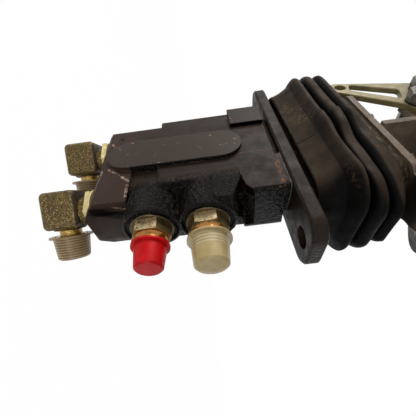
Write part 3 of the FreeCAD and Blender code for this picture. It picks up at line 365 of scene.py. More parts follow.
def pads_and_ports(f, colour, rough, height):
    # The flat machined pads with their short light scratches, and a ring of painted shade in the recess
    # round each port
    flat = f.ramp(f.axis("X"), PAD_X + 0.6, PAD_X + 0.2)
    height = f.blend(f.times(flat, 0.8), height, 0.55)
    rough = f.blend(flat, rough, 0.44)
    colour = f.tint(colour, flat, "3b332d", 0.8)
    seat = f.times(flat, f.ramp(f.axis("Y"), SEAT_Y - 1, SEAT_Y))
    colour = f.tint(colour, seat, "1f1814", 0.6)
    dashes = f.ramp(f.noise(3.4, 2, 0.5, 44.0, (1.0, 1.6, 0.5)), 0.685, 0.71)
    colour = f.tint(colour, f.times(dashes, flat), "a5835f", 0.8)
    # Painted shade: a near-black ring in the recess between each port's fitting and its rim
    for z in (FITTING_Z, TANK_Z):
        away = f.vector("DISTANCE", f.place, (0.0, PORT_Y * MM, z * MM))
        ring = f.times(f.ramp(away, 13.5 * MM, 14.0 * MM), f.ramp(away, 17.2 * MM, 16.6 * MM))
        colour = f.tint(colour, ring, "040303")
    return colour, rough, height


def cast_paint(name, node, base, brown, marks, on_body=False):
    # Worn black paint on cast iron: smooth on the machined faces, glossy orange peel on the casting's skin,
    # with painted shade on faces turned towards the front
    f = Finish(name)
    fine = f.noise(1.6, 6, 0.7, 3.0)
    grit = f.noise(0.7, 3, 0.6, 8.0)
    lumps = f.noise(4.5, 4, 0.55, 5.0)
    # Faces turned towards the front: a mask for painted shade
    front_facing_shade = f.facing((0.0, -1.0, 0.0), 0.30, 0.75)
    skin_and_front_shade = skin_and_front_shade_mask(f, front_facing_shade) if on_body else f.times(front_facing_shade, 0.35)
    colour = f.mix(f.ramp(f.noise(22, 5, 0.65), 0.38, 0.66), rgb(base), rgb(brown))
    colour = f.tint(colour, f.ramp(fine, 0.56, 0.74, 0, 0.45), "4d4036")
    if on_body:
        colour = brown_zones(f, colour)
    # Near black: the cast skin's own colour, and painted shade where faces turn towards the front
    colour = f.tint(colour, skin_and_front_shade, "080504", 0.95)
    colour = f.tint(colour, f.ramp(grit, 0.60, 0.72, 0, 0.7), "0e0c0b")
    chips = f.times(f.edges(1.3, 0.80, 0.97), f.ramp(f.noise(5, 5, 0.7, 12.0), 0.50, 0.60))
    colour = f.tint(colour, chips, "6d5748", 0.7)
    # The dark marks paint shade into the undercut and along edges
    for kind, (text, breakup) in MARK_LOOKS.items():
        for a, b, inner, outer in marks.get(kind, []):
            line = f.stroke(hit(node, *a), hit(node, *b), inner, outer)
            broken = f.ramp(f.noise(2.2, 5, 0.7, 20.0), breakup, breakup + 0.10)
            colour = f.tint(colour, f.times(line, broken), text)
    rough = f.ramp(f.noise(9, 5, 0.6, 15.0), 0.35, 0.70, 0.42, 0.62)
    rough = f.blend(skin_and_front_shade, rough, f.ramp(fine, 0.4, 0.7, 0.20, 0.36))
    height = f.plus(f.times(lumps, 0.6), f.times(fine, 0.35))
    peel = f.plus(f.times(f.noise(2.3, 3, 0.6, 31.0), 9.0), f.times(lumps, 0.8))
    height = f.blend(skin_and_front_shade, height, peel)
    if on_body:
        colour, rough, height = pads_and_ports(f, colour, rough, height)
    return f.done(colour, rough, height, strength=0.65, depth=0.6, edge=0.9, Specular_IOR_Level=0.11)


def zinc(name, base, light, dark, speck=0.62, metal=0.75, rough=(0.30, 0.55), grain=0.5, depth=0.12,
         zones=None):
    # Plated steel: forged or turned, with dark speckle in the pits
    f = Finish(name)
    colour = f.mix(f.ramp(f.noise(6, 4, 0.6), 0.36, 0.66), rgb(base), rgb(light))
    gloss = f.ramp(f.noise(4, 4, 0.6, 6.0), 0.3, 0.7, rough[0], rough[1])
    colour = f.tint(colour, f.edges(0.7, 0.86, 0.985), light, 0.55)
    if zones is not None:
        for mask, text, zone_gloss in zones(f):
            colour = f.tint(colour, mask, text)
            if zone_gloss is not None:
                gloss = f.blend(mask, gloss, zone_gloss)
    pits = f.noise(1.1, 5, 0.7, 4.0)
    colour = f.tint(colour, f.ramp(pits, speck, speck + 0.10, 0, 0.85), dark)
    height = f.plus(f.noise(0.9, 3, 0.6, 9.0), f.times(f.noise(3.0, 3, 0.5, 2.0), 0.8))
    return f.done(colour, gloss, height, strength=grain, depth=depth, edge=0.35, Metallic=metal)


def thread_rings(f, colour, height, rings):
    # The thread under the plastic shows through as pale and deep rings, with specks beyond it
    measure, low, high, pitch, pale, deep = rings
    along = measure(f)
    zone = f.times(f.ramp(along, low, low + 0.6), f.ramp(along, high, high - 1.5))
    shaky = f.plus(along, f.times(f.noise(9, 2, 0.5, 3.0), 0.5))
    wave = f.math("SINE", f.times(shaky, 2 * pi / pitch))
    colour = f.tint(colour, f.times(f.ramp(wave, 0.25, 0.95), zone), pale, 0.65)
    colour = f.tint(colour, f.times(f.ramp(wave, -0.1, -0.9), zone), deep, 0.55)
    height = f.plus(height, f.times(wave, zone, 0.8))
    specks = f.times(f.ramp(f.noise(0.9, 3, 0.6, 17.0), 0.70, 0.74), f.ramp(along, high - 2, high))
    return f.tint(colour, specks, "4a3a22", 0.8), height


def plastic(name, base, light, rough, clear=1.0, rings=None, shine=0.4):
    # Soft moulded plastic with light scuffs
    f = Finish(name)
    scuff = f.noise(1.4, 6, 0.7, 5.0)
    colour = f.mix(f.ramp(f.noise(7, 4, 0.55, 1.0), 0.35, 0.68), rgb(base), rgb(light))
    colour = f.tint(colour, f.ramp(scuff, 0.60, 0.74, 0, 0.35), light)
    height = f.plus(f.noise(2.6, 3, 0.5, 7.0), f.times(scuff, 0.25))
    if rings is not None:
        colour, height = thread_rings(f, colour, height, rings)
    gloss = f.ramp(scuff, 0.35, 0.7, rough[0], rough[1])
    return f.done(colour, gloss, height, strength=0.3, depth=0.2, edge=0.3, Alpha=clear,
                  Specular_IOR_Level=shine)


def sheet_paint(name, base, dark, light, shade_from_y=None):
    # Worn dark paint on sheet steel, with painted shade ahead of a place along Y where one is given
    f = Finish(name)
    colour = f.mix(f.ramp(f.noise(16, 5, 0.65), 0.36, 0.66), rgb(base), rgb(dark))
    colour = f.tint(colour, f.ramp(f.noise(1.3, 6, 0.7, 3.0), 0.58, 0.72, 0, 0.5), light)
    # Painted shade, deepening over 10 mm ahead of that place
    if shade_from_y is not None:
        colour = f.tint(colour, f.ramp(f.axis("Y"), shade_from_y, shade_from_y - 10), "0b0908", 0.92)
    worn = f.times(f.edges(0.9, 0.80, 0.97), f.ramp(f.noise(4, 5, 0.7, 9.0), 0.42, 0.58))
    colour = f.tint(colour, worn, "b3a794", 0.9)
    gloss = f.ramp(f.noise(6, 4, 0.6, 6.0), 0.3, 0.7, 0.40, 0.65)
    height = f.plus(f.noise(2.4, 4, 0.6, 5.0), f.times(f.noise(0.6, 3, 0.6, 2.0), 0.4))
    return f.done(colour, gloss, height, strength=0.35, depth=0.2, edge=0.5, Specular_IOR_Level=0.2)


def rubber(name, base, dust, amount=0.5):
    f = Finish(name)
    colour = f.mix(f.ramp(f.noise(14, 5, 0.65), 0.35, 0.68), rgb(base), rgb(dust))
    colour = f.tint(colour, f.ramp(f.noise(0.8, 5, 0.7, 4.0), 0.60, 0.74, 0, amount), dust)
    gloss = f.ramp(f.noise(5, 4, 0.6, 2.0), 0.3, 0.7, 0.5, 0.8)
    height = f.plus(f.noise(1.8, 4, 0.6, 5.0), f.times(f.noise(0.5, 3, 0.6, 8.0), 0.4))
    return f.done(colour, gloss, height, strength=0.35, depth=0.15)


def port_distance(f):
    # How far ahead of the ports' face a place is, in mm
    return f.math("SUBTRACT", PORT_Y, f.axis("Y"))


def outlet_distance(f):
    # How far along its outlet a place on either elbow is, in mm
    dusty_side_vs_shade = Vector((1, -1, 0)).normalized() / MM
    along = f.vector("DOT_PRODUCT", f.place, dusty_side_vs_shade)
    start = ELBOW_Y * sqrt(0.5)
    return f.plus(along, f.ramp(f.axis("Y"), 0.1, -0.1, start, -start))


def fitting_zones(f):
    # The shoulder, a pale patchy flat towards the pad's side, the bright neck beside the cap and the thread
    ahead = port_distance(f)
    shoulder = f.times(f.ramp(ahead, 1.5, 1.2), 0.9)
    dust = f.ramp(f.noise(2.6, 5, 0.7, 33.0), 0.36, 0.50)
    # A pale patchy colour on the hex flat that faces −X, towards the pad's side
    pale = f.times(f.facing((-0.995, 0.0, -0.08), 0.90, 0.98), dust, 0.9)
    neck = f.times(f.ramp(ahead, 8.5, 8.9), f.ramp(ahead, 13.4, 12.6))
    thread = f.ramp(ahead, 13.2, 13.6)
    return [(shoulder, "493c20", 0.35), (pale, "cdb68c", 0.45), (neck, "b47a38", 0.16),
            (thread, "b3a374", 0.35)]


def elbow_zones(f):
    # Forged skin with light flecks, painted shade on the faces towards the body and the bright turned neck
    forged = f.times(f.ramp(f.noise(1.3, 5, 0.7, 21.0), 0.47, 0.57), 0.75)
    flecks = f.times(f.ramp(f.noise(1.0, 5, 0.75, 27.0), 0.54, 0.60), 0.7)
    # Painted shade on the faces turned towards the body
    dark = f.times(f.facing((0.0, 0.0, 1.0), 0.35, 0.75), 0.85)
    neck = f.times(f.ramp(outlet_distance(f), 11.0, 11.6), f.ramp(f.axis("Z"), -135.0, -136.0))
    return [(forged, "2c200c", None), (flecks, "cbb070", None), (dark, "1a1108", None),
            (neck, "c4a24a", 0.16)]


# What the distance is measured along, where the rings start and end, their pitch and two colours
TANK_RINGS = (port_distance, 14.0, 23.0, 1.9, "e4dabc", "9a8c66")
ELBOW_RINGS = (outlet_distance, 15.6, 30.5, 1.75, "c9b28c", "5d4a2c")


def loop_points(half_x, front, rear, r):
    # Evenly spaced points round a rectangle with round corners
    corners = [(half_x - r, rear - r, 0), (-half_x + r, rear - r, 90),
               (-half_x + r, front + r, 180), (half_x - r, front + r, 270)]
    arc = 12
    path = []
    for cx, cy, start in corners:
        for k in range(arc + 1):
            a = radians(start + 90 * k / arc)
            path.append((cx + r * cos(a), cy + r * sin(a)))
    path.append(path[0])
    lengths = [0.0]
    for (x0, y0), (x1, y1) in zip(path, path[1:]):
        lengths.append(lengths[-1] + hypot(x1 - x0, y1 - y0))
    points = []
    j = 1
    for i in range(BOOT_POINTS):
        want = lengths[-1] * i / BOOT_POINTS
        while lengths[j] < want:
            j += 1
        t = (want - lengths[j - 1]) / max(1e-9, lengths[j] - lengths[j - 1])
        (x0, y0), (x1, y1) = path[j - 1], path[j]
        points.append((x0 + (x1 - x0) * t, y0 + (y1 - y0) * t))
    return points


def between(rings, steps):
    # The rings and the even steps between them, without the last ring
    rows = []
    for low, high in zip(rings, rings[1:]):
        for i in range(steps):
            rows.append([p + (q - p) * i / steps for p, q in zip(low, high)])
    return rows


def flank_rows(crest, valley, profile, order):
    # One flank of a fold, from its fat round crest to the narrow cleft
    fat, pinch = profile
    rows = []
    for i in order:
        away = sin(pi / 2 * i / FOLD_STEPS)
        share = over(1 - away ** fat) ** pinch
        row = [v + (c - v) * share for c, v in zip(crest, valley)]
        row[0] = crest[0] + (valley[0] - crest[0]) * away
        rows.append(row)
    return rows


def boot_rows():
    profiles = [FIRST_PROFILE, FOLD_PROFILE, FOLD_PROFILE, LAST_PROFILE]
    rows = between(BOOT_SKIRT, 3)
    for k, crest in enumerate(BOOT_CRESTS):
        rows += flank_rows(crest, BOOT_VALLEYS[k], profiles[k], range(FOLD_STEPS, 0, -1))
        rows += flank_rows(crest, BOOT_VALLEYS[k + 1], profiles[k + 1], range(FOLD_STEPS))
    return rows + between(BOOT_COLLAR, 4) + [list(BOOT_COLLAR[-1])]


def fold_width(z, y):
    # How much wider or narrower than its base size a fold is at a place along its side
    widths = [1.0]
    for swells, tapers in FOLD_SIDES:
        width = 1.0
        for amount, middle, reach in swells:
            width += amount * exp(-((y - middle) / reach) ** 2)
        for amount, start, reach in tapers:
            width -= amount * smooth((start - y) / reach)
        widths.append(width)
    widths.append(1.0)
    k = 0
    while k < len(FOLD_SIDES) and z >= FOLD_LEVELS[k + 1]:
        k += 1
    share = smooth((z - FOLD_LEVELS[k]) / (FOLD_LEVELS[k + 1] - FOLD_LEVELS[k]))
    return widths[k] + (widths[k + 1] - widths[k]) * share


def seam_place(z):
    # Where the mould's parting line crosses the boot's sides
    low, high = SEAM_Z
    return SEAM_Y[0] + (SEAM_Y[1] - SEAM_Y[0]) * smooth((z - low) / (high - low))


def boot_skin_points(row, inset):
    # One ring of the boot: its folds swell, step at the parting line and wobble a little
    z, half_x, front, rear, r = row
    if inset:
        inset -= 1.9 * smooth((z - 58.4) / 3.3)
    on_folds = smooth((z - 24) / 3) * (1 - smooth((z - 53) / 2))
    soft = smooth((z - 14) / 8) * smooth((60 - z) / 6)
    points = []
    for x, y in loop_points(half_x - inset, front + inset, rear - inset, r - inset):
        side = 1 if x > 0 else -1
        end = 0.5 if y > 0 else -0.5
        flank = smooth((abs(x) - 6) / 14)
        x *= 1 + (fold_width(z, y) - 1) * flank
        ahead = seam_place(z) - y
        step = on_folds * flank * smooth(ahead / 0.9) * exp(-over(ahead) / 6)
        wobble = noise.noise(Vector((x, y, z)) * 0.045) * 0.8 * soft
        points.append(Vector((x + side * (step + wobble * 0.6), y + wobble * end, z)) * MM)
    return points


def boot_finish():
    # Black rubber: dusty where it faces outwards, near black in the folds and underneath, which is partly
    # clean rubber and partly painted shade
    f = Finish("boot_rubber_dusty")
    y = f.axis("Y")
    z = f.axis("Z")
    # Faces turned sideways carry dust; the rest is near black, partly painted shade
    dusty_side_vs_shade = f.larger(f.facing((-0.80, 0.35, 0.20), 0.10, 0.75), f.facing((0.80, 0.35, 0.20), 0.10, 0.75))
    colour = f.mix(f.ramp(f.noise(16, 5, 0.65), 0.35, 0.68), rgb("302821"), rgb("40362c"))
    colour = f.tint(colour, f.ramp(f.noise(1.0, 4, 0.7, 9.0), 0.68, 0.78, 0, 0.5), "8a7550")
    colour = f.tint(colour, f.ramp(f.noise(6, 5, 0.7, 13.0), 0.58, 0.70, 0, 0.5), "1c1a18")
    colour = f.mix(dusty_side_vs_shade, rgb("030302"), colour)
    # Painted shade deep in the clefts between the folds
    for cleft, reach in ((33.4, 3.0), (44.4, 4.2)):
        deep = f.ramp(f.math("ABSOLUTE", f.math("SUBTRACT", z, cleft)), reach, reach - 1.4)
        colour = f.tint(colour, deep, "020202", 0.93)
    # Dust on the skirt below the folds and along its lower edge
    gold_line = f.stroke(Vector((-24, 30, 16)) * MM, Vector((-27, 6, 22)) * MM, 3, 8)
    golden = f.times(gold_line, f.ramp(f.noise(2.8, 7, 0.8, 4.0), 0.50, 0.68))
    low = f.times(f.ramp(z, 12.2, 10.6), f.ramp(f.noise(2.6, 6, 0.75, 6.0), 0.50, 0.62))
    colour = f.tint(colour, golden, "7c6c48", 0.7)
    colour = f.tint(colour, low, "5c4c36", 0.3)
    # The dusty, scratched side of the collar
    collar = f.times(f.ramp(z, 53.5, 55.5), f.ramp(y, 14, 2))
    colour = f.tint(colour, collar, "241d17", 0.6)
    scratch = f.ramp(f.noise(1.6, 5, 0.7, 11.0, (1.0, 0.35, 1.6)), 0.52, 0.62)
    colour = f.tint(colour, f.times(collar, scratch), "8b7a5c", 0.55)
    for a, b, inner, outer, text, breakup in BOOT_MARKS:
        mark = f.stroke(hit("boot", *a), hit("boot", *b), inner, outer)
        mark = f.times(mark, f.ramp(f.noise(2.0, 5, 0.7, 20.0), breakup, breakup + 0.12))
        colour = f.tint(colour, mark, text)
    # The mould's parting line
    line = f.ramp(z, *SEAM_Z, *SEAM_Y)
    away = f.math("ABSOLUTE", f.math("SUBTRACT", y, line))
    seam = f.times(f.ramp(away, 0.8, 0.3), f.ramp(z, 54, 52))
    colour = f.tint(colour, seam, "0a0908", 0.8)
    gloss = f.ramp(f.noise(5, 4, 0.6, 2.0), 0.3, 0.7, 0.42, 0.70)
    height = f.plus(f.noise(2.5, 5, 0.6, 5.0), f.times(f.noise(0.6, 3, 0.6, 8.0), 0.35))
    height = f.math("SUBTRACT", height, f.times(seam, 2.5))
    return f.done(colour, gloss, height, strength=0.4, depth=0.3, Specular_IOR_Level=0.05)


def keep(name, verts, faces, material, sharp=32):
    # A finished piece: smooth faces, with sharp edges where the surface turns
    mesh = bpy.data.meshes.new(name)
    mesh.from_pydata(verts, [], faces)
    mesh.update()
    for poly in mesh.polygons:
        poly.use_smooth = True
    if sharp is not None:
        mesh.set_sharp_from_angle(angle=radians(sharp))
    mesh.materials.append(material)
    return show(name, mesh)


def ring_faces(rings, around, flip=False):
    # Quads between closed rings of points, the last ring joined to the first
    faces = []
    for k in range(rings):
        here = k * around
        there = (k + 1) % rings * around
        for i in range(around):
            j = (i + 1) % around
            face = (here + i, here + j, there + j, there + i)
            faces.append((face[0], face[3], face[2], face[1]) if flip else face)
    return faces


def boot():
    # The rubber boot as a folded skin with an inner wall, open at both ends
    rows = boot_rows()
    verts = []
    for inset, rings in ((0, rows), (BOOT_WALL, rows[::-1])):
        for row in rings:
            verts += boot_skin_points(row, inset)
    faces = ring_faces(2 * len(rows), BOOT_POINTS)
    obj = keep("boot_folds", verts, faces, boot_finish(), sharp=None)
    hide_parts("boot")
    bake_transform(obj)


def turned(name, rows, z, material, turn=0.0):
    # A turned part ahead of a port: rows of (distance, radius, flat), where flat planes it to a hexagon
    segments = 144
    verts = []
    for distance, r, flat in rows:
        for k in range(segments):
            angle = 2 * pi * k / segments
            reach = r
            if flat:
                reach = min(r, flat / cos((angle % (pi / 3)) - pi / 6))
            a = angle + radians(turn)
            verts.append(Vector((reach * cos(a), PORT_Y - distance, z + reach * sin(a))) * MM)
    return keep(name, verts, ring_faces(len(rows), segments, flip=True), material)


def thread_rows(start, end, r, depth, pitch):
    rows = []
    for k in range(int((end - start) / pitch)):
        low = start + k * pitch
        rows += [(low, r - depth, 0), (low + pitch * 0.38, r, 0),
                 (low + pitch * 0.52, r, 0), (low + pitch * 0.9, r - depth, 0)]
    return rows


def port_fitting(name, node, z, hex_end, neck_r, thread_r, material):
    # A straight adapter: round shoulder, turned hexagon, bright neck and threaded end under the cap
    rows = [(-11.9, BORE_R, 0), (-11.9, 10.2, 0), (-11.1, 11.0, 0), (-3.0, 11.0, 0), (-3.0, 9.85, 0),
            (0.0, 9.85, 0), (0.0, 13.4, 0), (0.3, 13.8, 0), (0.9, 13.8, 0), (1.25, 13.4, 0),
            (1.25, HEX_CORNER, HEX_FLAT), (hex_end - 0.7, HEX_CORNER, HEX_FLAT),
            (hex_end, HEX_CORNER - 0.8, HEX_FLAT), (hex_end, neck_r + 0.5, 0),
            (hex_end + 0.5, neck_r + 0.1, 0), (hex_end + 1.6, neck_r - 0.3, 0), (12.2, neck_r - 0.4, 0),
            (12.6, neck_r, 0), (13.1, neck_r, 0), (13.3, thread_r - 0.6, 0)]
    rows += thread_rows(13.6, 20.3, thread_r, 0.7, 1.8)
    rows += [(20.8, thread_r - 1.2, 0), (22.0, thread_r - 2.2, 0), (22.0, BORE_R, 0)]
    obj = turned(name, rows, z, material, turn=HEX_TURN)
    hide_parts(node)
    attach(obj, "valve")


def slab(name, outline, x_low, x_high):
    # A solid between two X planes over an outline of (y, z) points
    verts = [Vector((x, y, z)) * MM for x in (x_low, x_high) for y, z in outline]
    n = len(outline)
    faces = [list(range(n)), list(range(2 * n - 1, n - 1, -1))]
    for i in range(n):
        j = (i + 1) % n
        faces.append([i, n + i, n + j, j])
    mesh = bpy.data.meshes.new(name)
    mesh.from_pydata(verts, [], faces)
    shape = bmesh.new()
    shape.from_mesh(mesh)
    bmesh.ops.recalc_face_normals(shape, faces=shape.faces)
    shape.to_mesh(mesh)
    shape.free()
    return show(name, mesh)


def rectangle(y_low, y_high, z_low, z_high):
    return [(y_low, z_low), (y_high, z_low), (y_high, z_high), (y_low, z_high)]


def body_steps():
    # The cuts and additions that turn the CAD body into the photograph's: how, name, outline and X reach
    arc_y, arc_z, arc_r = 1, -37.5, 14.5
    pad_end = [(arc_y + arc_r, -50.0)]
    for a in range(0, 181, 6):
        pad_end.append((arc_y + arc_r * cos(radians(a)), arc_z + arc_r * sin(radians(a))))
    pad_end.append((arc_y - arc_r, -50.0))
    seat = rectangle(SEAT_Y, 43.4, -27.9, -3.75)
    pit = [(-31.0, -27.95), (-47.2, -34.7), (-49.0, -34.7), (-49.0, -20.8), (-43.5, -23.5),
           (-40.5, -26.0), (-36.0, -27.6)]
    corner = [(-40.0, -27.9), (-49.1, -27.9), (-49.1, -20.7), (-44.5, -22.7), (-42.5, -25.0)]
    return [("DIFFERENCE", "cut_high", rectangle(-14, 38, -31.4, -2.5), -45, PAD_X + 0.4),
            ("DIFFERENCE", "cut_front", rectangle(-13.9, SEAT_Y, -31.3, -2.6), -30, BODY_X),
            ("DIFFERENCE", "cut_side", rectangle(-13.8, 37.9, -31.2, COLLAR_Z), -29, BODY_X),
            ("UNION", "add_pad", pad_end, PAD_X - 0.01, BODY_X + 1),
            ("UNION", "add_seat", seat, PAD_X, -12.0),
            ("DIFFERENCE", "cut_pit", pit, -30, -11.6),
            ("DIFFERENCE", "cut_corner", corner, -13, 13)]


def body_casting():
    # The CAD body with its raised seat behind the pad brought to the pad's level, as the photograph shows it
    mesh = nodes["valve_body"].data.copy()
    shape = bmesh.new()
    shape.from_mesh(mesh)
    bmesh.ops.remove_doubles(shape, verts=shape.verts, dist=1e-6)
    shape.to_mesh(mesh)
    shape.free()
    mesh.materials.clear()
    obj = show("valve_body_casting", mesh)
    for how, name, outline, x_low, x_high in body_steps():
        tool = slab(name, outline, x_low, x_high)
        cut = obj.modifiers.new(name, "BOOLEAN")
        cut.operation = how
        cut.solver = "EXACT"
        cut.object = tool
        made = bpy.data.meshes.new_from_object(obj.evaluated_get(bpy.context.evaluated_depsgraph_get()))
        obj.modifiers.clear()
        obj.data = made
        bpy.data.objects.remove(tool)
    mesh = obj.data
    mesh.name = "valve_body_casting"
    mesh.materials.clear()
    if "custom_normal" in mesh.attributes:
        mesh.attributes.remove(mesh.attributes["custom_normal"])
    for poly in mesh.polygons:
        poly.use_smooth = True
    mesh.set_sharp_from_angle(angle=radians(22))
    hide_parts("valve_body")
    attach(obj, "valve")
    bpy.context.view_layer.update()
    return obj


def upper_walls(y, z):
    # The front wall above the bottom block, with its round edge, and the slope behind it
    corner = over(-27.0 - y)
    edge = CORNER_R - sqrt(over(CORNER_R ** 2 - min(CORNER_R, corner) ** 2))
    drop = edge + over(corner - CORNER_R) * 8
    side = over(-80.2 - z) * 6
    slope = min(18.5, 18.0 + (y + 25.0) * 1.05)
    return [WALL_OUT - drop - side, slope - side * 0.5 - over(z + 46) * 0.3]


def collar_flank(y, z):
    # The flank between the tank port's boss and the collar, bounded by a slanted edge
    border = -28.7 - over(-31.0 - y) * 0.4125
    return FLANK_OUT - over(z - border) * 5 - over(-46.0 - z) * 2 - over(-47 - y) * 3


def casting_depth(y, z):
    # How far out the cast front stands: its forms meet in wide fillets under an orange peel skin
    parts = [SKIN_LEAST]
    if z > -81:
        parts += upper_walls(y, z)
    parts.append(BLOCK_OUT - over(z + 80.6) * 2.2 - over(-43.0 - y) * 0.8)
    if z > -46:
        parts.append(collar_flank(y, z))
    for port_z in (TANK_Z, FITTING_Z):
        gap = abs(z - port_z)
        if gap < BOSS_R - 0.05:
            parts.append(sqrt(BOSS_R ** 2 - gap ** 2) - over(y + 31.0) * 1.2)
    top = max(parts)
    fillet = SKIN_BLEND * log(sum(exp((v - top) / SKIN_BLEND) for v in parts))
    total = min(top + fillet * smooth((-24 - y) / 10), SKIN_MOST)
    peel = noise.noise(Vector((y, z, 3)) * 0.5) * 0.30 + noise.noise(Vector((y, z, 9)) * 0.95) * 0.18
    total += over(peel + 0.08) * smooth((-24 - y) / 6)
    return total - 0.7 * smooth((y + 22) / 6)


def casting_skin(material):
    # The casting's soft front, as a thin closed shell over a grid of places
    (y_low, y_high), (z_low, z_high) = SKIN_Y, SKIN_Z
    ny, nz = SKIN_CELLS
    verts = []
    for inset in (0, SKIN_THICKNESS):
        for i in range(ny + 1):
            y = y_low + (y_high - y_low) * i / ny
            for k in range(nz + 1):
                z = z_low + (z_high - z_low) * k / nz
                verts.append(Vector((-max(SKIN_LEAST, casting_depth(y, z) - inset), y, z)) * MM)
    faces = []
    row = nz + 1
    sheet = row * (ny + 1)
    for i in range(ny):
        for k in range(nz):
            a = i * row + k
            face = (a, a + 1, a + row + 1, a + row)
            faces.append(face)
            faces.append([sheet + v for v in reversed(face)])
    rim = [i * row for i in range(ny + 1)] + [ny * row + k for k in range(1, row)]
    rim += [i * row + nz for i in range(ny - 1, -1, -1)] + list(range(nz - 1, 0, -1))
    for n, a in enumerate(rim):
        b = rim[(n + 1) % len(rim)]
        faces.append((a, b, sheet + b, sheet + a))
    obj = keep("casting_front_skin", verts, faces, material, 60)
    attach(obj, "valve")


def boss_rims(material):
    # The raised, chipped rim round each port's seat
    rows = [(-1.6, 16.4, 0), (0.7, 16.2, 0), (1.15, 16.5, 0), (1.3, 17.1, 0), (1.1, 17.9, 0),
            (0.4, BOSS_R, 0), (-0.6, 18.9, 0), (-2.4, 18.9, 0)]
    for name, z in (("tank_port_rim", TANK_Z), ("pressure_port_rim", FITTING_Z)):
        obj = turned(name, rows, z, material)
        for vert in obj.data.vertices:
            ragged = noise.noise(vert.co * 260) * 0.22 + noise.noise(vert.co * 700) * 0.10
            vert.co.y += ragged * MM
        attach(obj, "valve")


def springs():
    # The coils, copied from the springs and baked in place on their seats
    for side in ("front", "rear"):
        for kind, low, high in SPRINGS:
            node = f"{side}_{kind}_spring"
            obj = show(f"{node}_coil", nodes[node].data.copy())
            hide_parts(node)
            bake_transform(obj)


def seen_rays(tree):
    # The rays that show the plain white background: seen directly, in gloss and through clear plastic
    path = tree.nodes.new("ShaderNodeLightPath")
    found = path.outputs["Is Camera Ray"]
    for kind in ("Is Glossy Ray", "Is Transmission Ray"):
        either = tree.nodes.new("ShaderNodeMath")
        either.operation = "MAXIMUM"
        tree.links.new(found, either.inputs[0])
        tree.links.new(path.outputs[kind], either.inputs[1])
        found = either.outputs[0]
    return found


def mixed(tree, amount, hidden, seen, surface):
    # The seen shader where the amount is 1 and the hidden one where it is 0
    mix = tree.nodes.new("ShaderNodeMixShader")
    tree.links.new(amount, mix.inputs[0])
    tree.links.new(hidden.outputs[0], mix.inputs[1])
    tree.links.new(seen.outputs[0], mix.inputs[2])
    tree.links.new(mix.outputs[0], surface)


def studio():
    world = bpy.data.worlds.new("studio")
    world.use_nodes = True
    scene.world = world
    tree = world.node_tree
    tree.nodes.clear()
    out = tree.nodes.new("ShaderNodeOutputWorld")
    seen = tree.nodes.new("ShaderNodeBackground")
    seen.inputs["Color"].default_value = (1, 1, 1, 1)
    seen.inputs["Strength"].default_value = 1.0
    fill = tree.nodes.new("ShaderNodeBackground")
    fill.inputs["Color"].default_value = FILL
    fill.inputs["Strength"].default_value = FILL_STRENGTH
    mixed(tree, seen_rays(tree), fill, seen, out.inputs["Surface"])
    for name, place, size, power in LAMPS:
        data = bpy.data.lights.new(name, "AREA")
        data.shape = "DISK"
        data.size = size
        data.energy = power
        data.color = WARM
        obj = show(name, data)
        obj.location = place
        obj.rotation_euler = (AIM - Vector(place)).to_track_quat("-Z", "Y").to_euler()


def floor():
    # A white ground that keeps a little of the object's shadow
    mat = bpy.data.materials.new("floor_white")
    mat.use_nodes = True
    tree = mat.node_tree
    shader = tree.nodes["Principled BSDF"]
    shader.inputs["Base Color"].default_value = (0.9, 0.9, 0.9, 1)
    shader.inputs["Roughness"].default_value = 0.9
    glow = tree.nodes.new("ShaderNodeEmission")
    glow.inputs["Strength"].default_value = 1.0
    share = tree.nodes.new("ShaderNodeMath")
    share.operation = "MULTIPLY"
    share.inputs[1].default_value = FLOOR_SHARE
    tree.links.new(seen_rays(tree), share.inputs[0])
    mixed(tree, share.outputs[0], shader, glow, tree.nodes["Material Output"].inputs["Surface"])
    mesh = bpy.data.meshes.new("floor")
    corners = [(-1, -1), (1, -1), (1, 1), (-1, 1)]
    mesh.from_pydata([(x * FLOOR_HALF, y * FLOOR_HALF, FLOOR_Z) for x, y in corners], [], [(0, 1, 2, 3)])
    mesh.materials.append(mat)
    obj = show("floor", mesh)


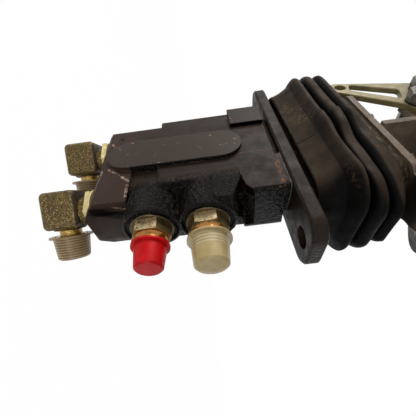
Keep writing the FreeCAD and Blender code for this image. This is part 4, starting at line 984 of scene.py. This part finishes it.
def dress_solids(body_paint, olive):
    # The finish of every solid that comes over from the frame
    dress(body_paint, "valve_body")
    dress(cast_paint("black_paint_flange", "mounting_flange", "1b1410", "241b15", FLANGE_MARKS),
          "mounting_flange")
    dress(olive, "pressure_port_adapter", "tank_port_adapter")
    dress(zinc("olive_zinc_forged", "503f12", "6e5820", "1d150a", speck=0.53, metal=0.35, rough=(0.34, 0.6),
               grain=0.9, depth=0.3, zones=elbow_zones),
          "front_elbow", "rear_elbow")
    dress(zinc("pale_zinc", "c8b47c", "e6d8a2", "6a4c22", speck=0.60, metal=0.3),
          "elbow_locknuts", "elbow_washers")
    dress(plastic("red_plastic", "b8050d", "cc1118", (0.34, 0.5), shine=0.15), "red_cap")
    dress(plastic("clear_plastic", "bda872", "d2c08e", (0.28, 0.45), clear=0.72, rings=TANK_RINGS),
          "clear_cap")
    dress(plastic("clear_plastic_elbow", "94794e", "ac9166", (0.28, 0.45), clear=0.78, rings=ELBOW_RINGS),
          "front_elbow_cap", "rear_elbow_cap")
    dress(rubber("seal_rubber", "141414", "2a2826"),
          "guide_o_rings", "plunger_wipers", "adapter_o_rings", "elbow_o_rings")
    dress(rubber("tread_rubber", "1b1a19", "4a443c", amount=0.7), "tread_rubber")
    dress(rubber("gasket_sheet", "23211e", "3d3933"), "flange_gasket")
    dress(zinc("bare_steel", "8a8680", "b5b1aa", "4a463f", speck=0.70, metal=0.9, rough=(0.22, 0.4),
               grain=0.2),
          "front_plunger", "rear_plunger", "front_spool", "rear_spool", "front_spring_seat",
          "rear_spring_seat", "pivot_pin", "pivot_circlips", "adjusters", "adjuster_locknuts",
          "front_plunger_guide", "rear_plunger_guide")
    dress(zinc("spring_steel", "4a4a4c", "77777a", "26262a", metal=0.9, rough=(0.25, 0.4)),
          "front_return_spring", "rear_return_spring", "front_metering_spring", "rear_metering_spring")
    dress(zinc("bronze", "8a6432", "b98d4e", "4a3418", metal=0.9), "rocker_bushes")
    dress(sheet_paint("bracket_paint", "75675a", "5c5044", "93866f", shade_from_y=-45),
          "rocker", "pedal_base_plate", "bracket_rear_lug", "bracket_cheek", "tread_plate")
    dress(sheet_paint("bracket_wall_paint", "74675a", "5c5146", "8a7c6b"), "bracket_front_wall")
    dress(zinc("yellow_zinc", "706644", "857b56", "5c4a2e", speck=0.64, metal=0.3), "link_arm")
    dress(zinc("bolt_steel", "4e4942", "746e65", "221e19", speck=0.58, metal=0.35),
          "flange_screws", "base_plate_screws", "link_arm_bolts", "link_arm_nuts", "tread_screws",
          "tread_nuts")
    dress(sheet_paint("washer_black", "1e1c1a", "2c2925", "4a453e"), "link_arm_washers")


camera()
body = body_casting()
body_paint = cast_paint("black_paint_body", body, "281f1a", "32261e", BODY_MARKS, on_body=True)
body.data.materials.append(body_paint)
olive = zinc("olive_zinc_turned", "554828", "7d6c40", "150f07", speck=0.54, metal=0.55, zones=fitting_zones)
dress_solids(body_paint, olive)
port_fitting("pressure_port_fitting", "pressure_port_adapter", FITTING_Z, 8.7, 9.5, 7.9, olive)
port_fitting("tank_port_fitting", "tank_port_adapter", TANK_Z, 8.0, 10.4, 9.5, olive)
casting_skin(body_paint)
boss_rims(body_paint)
boot()
springs()
studio()
floor()
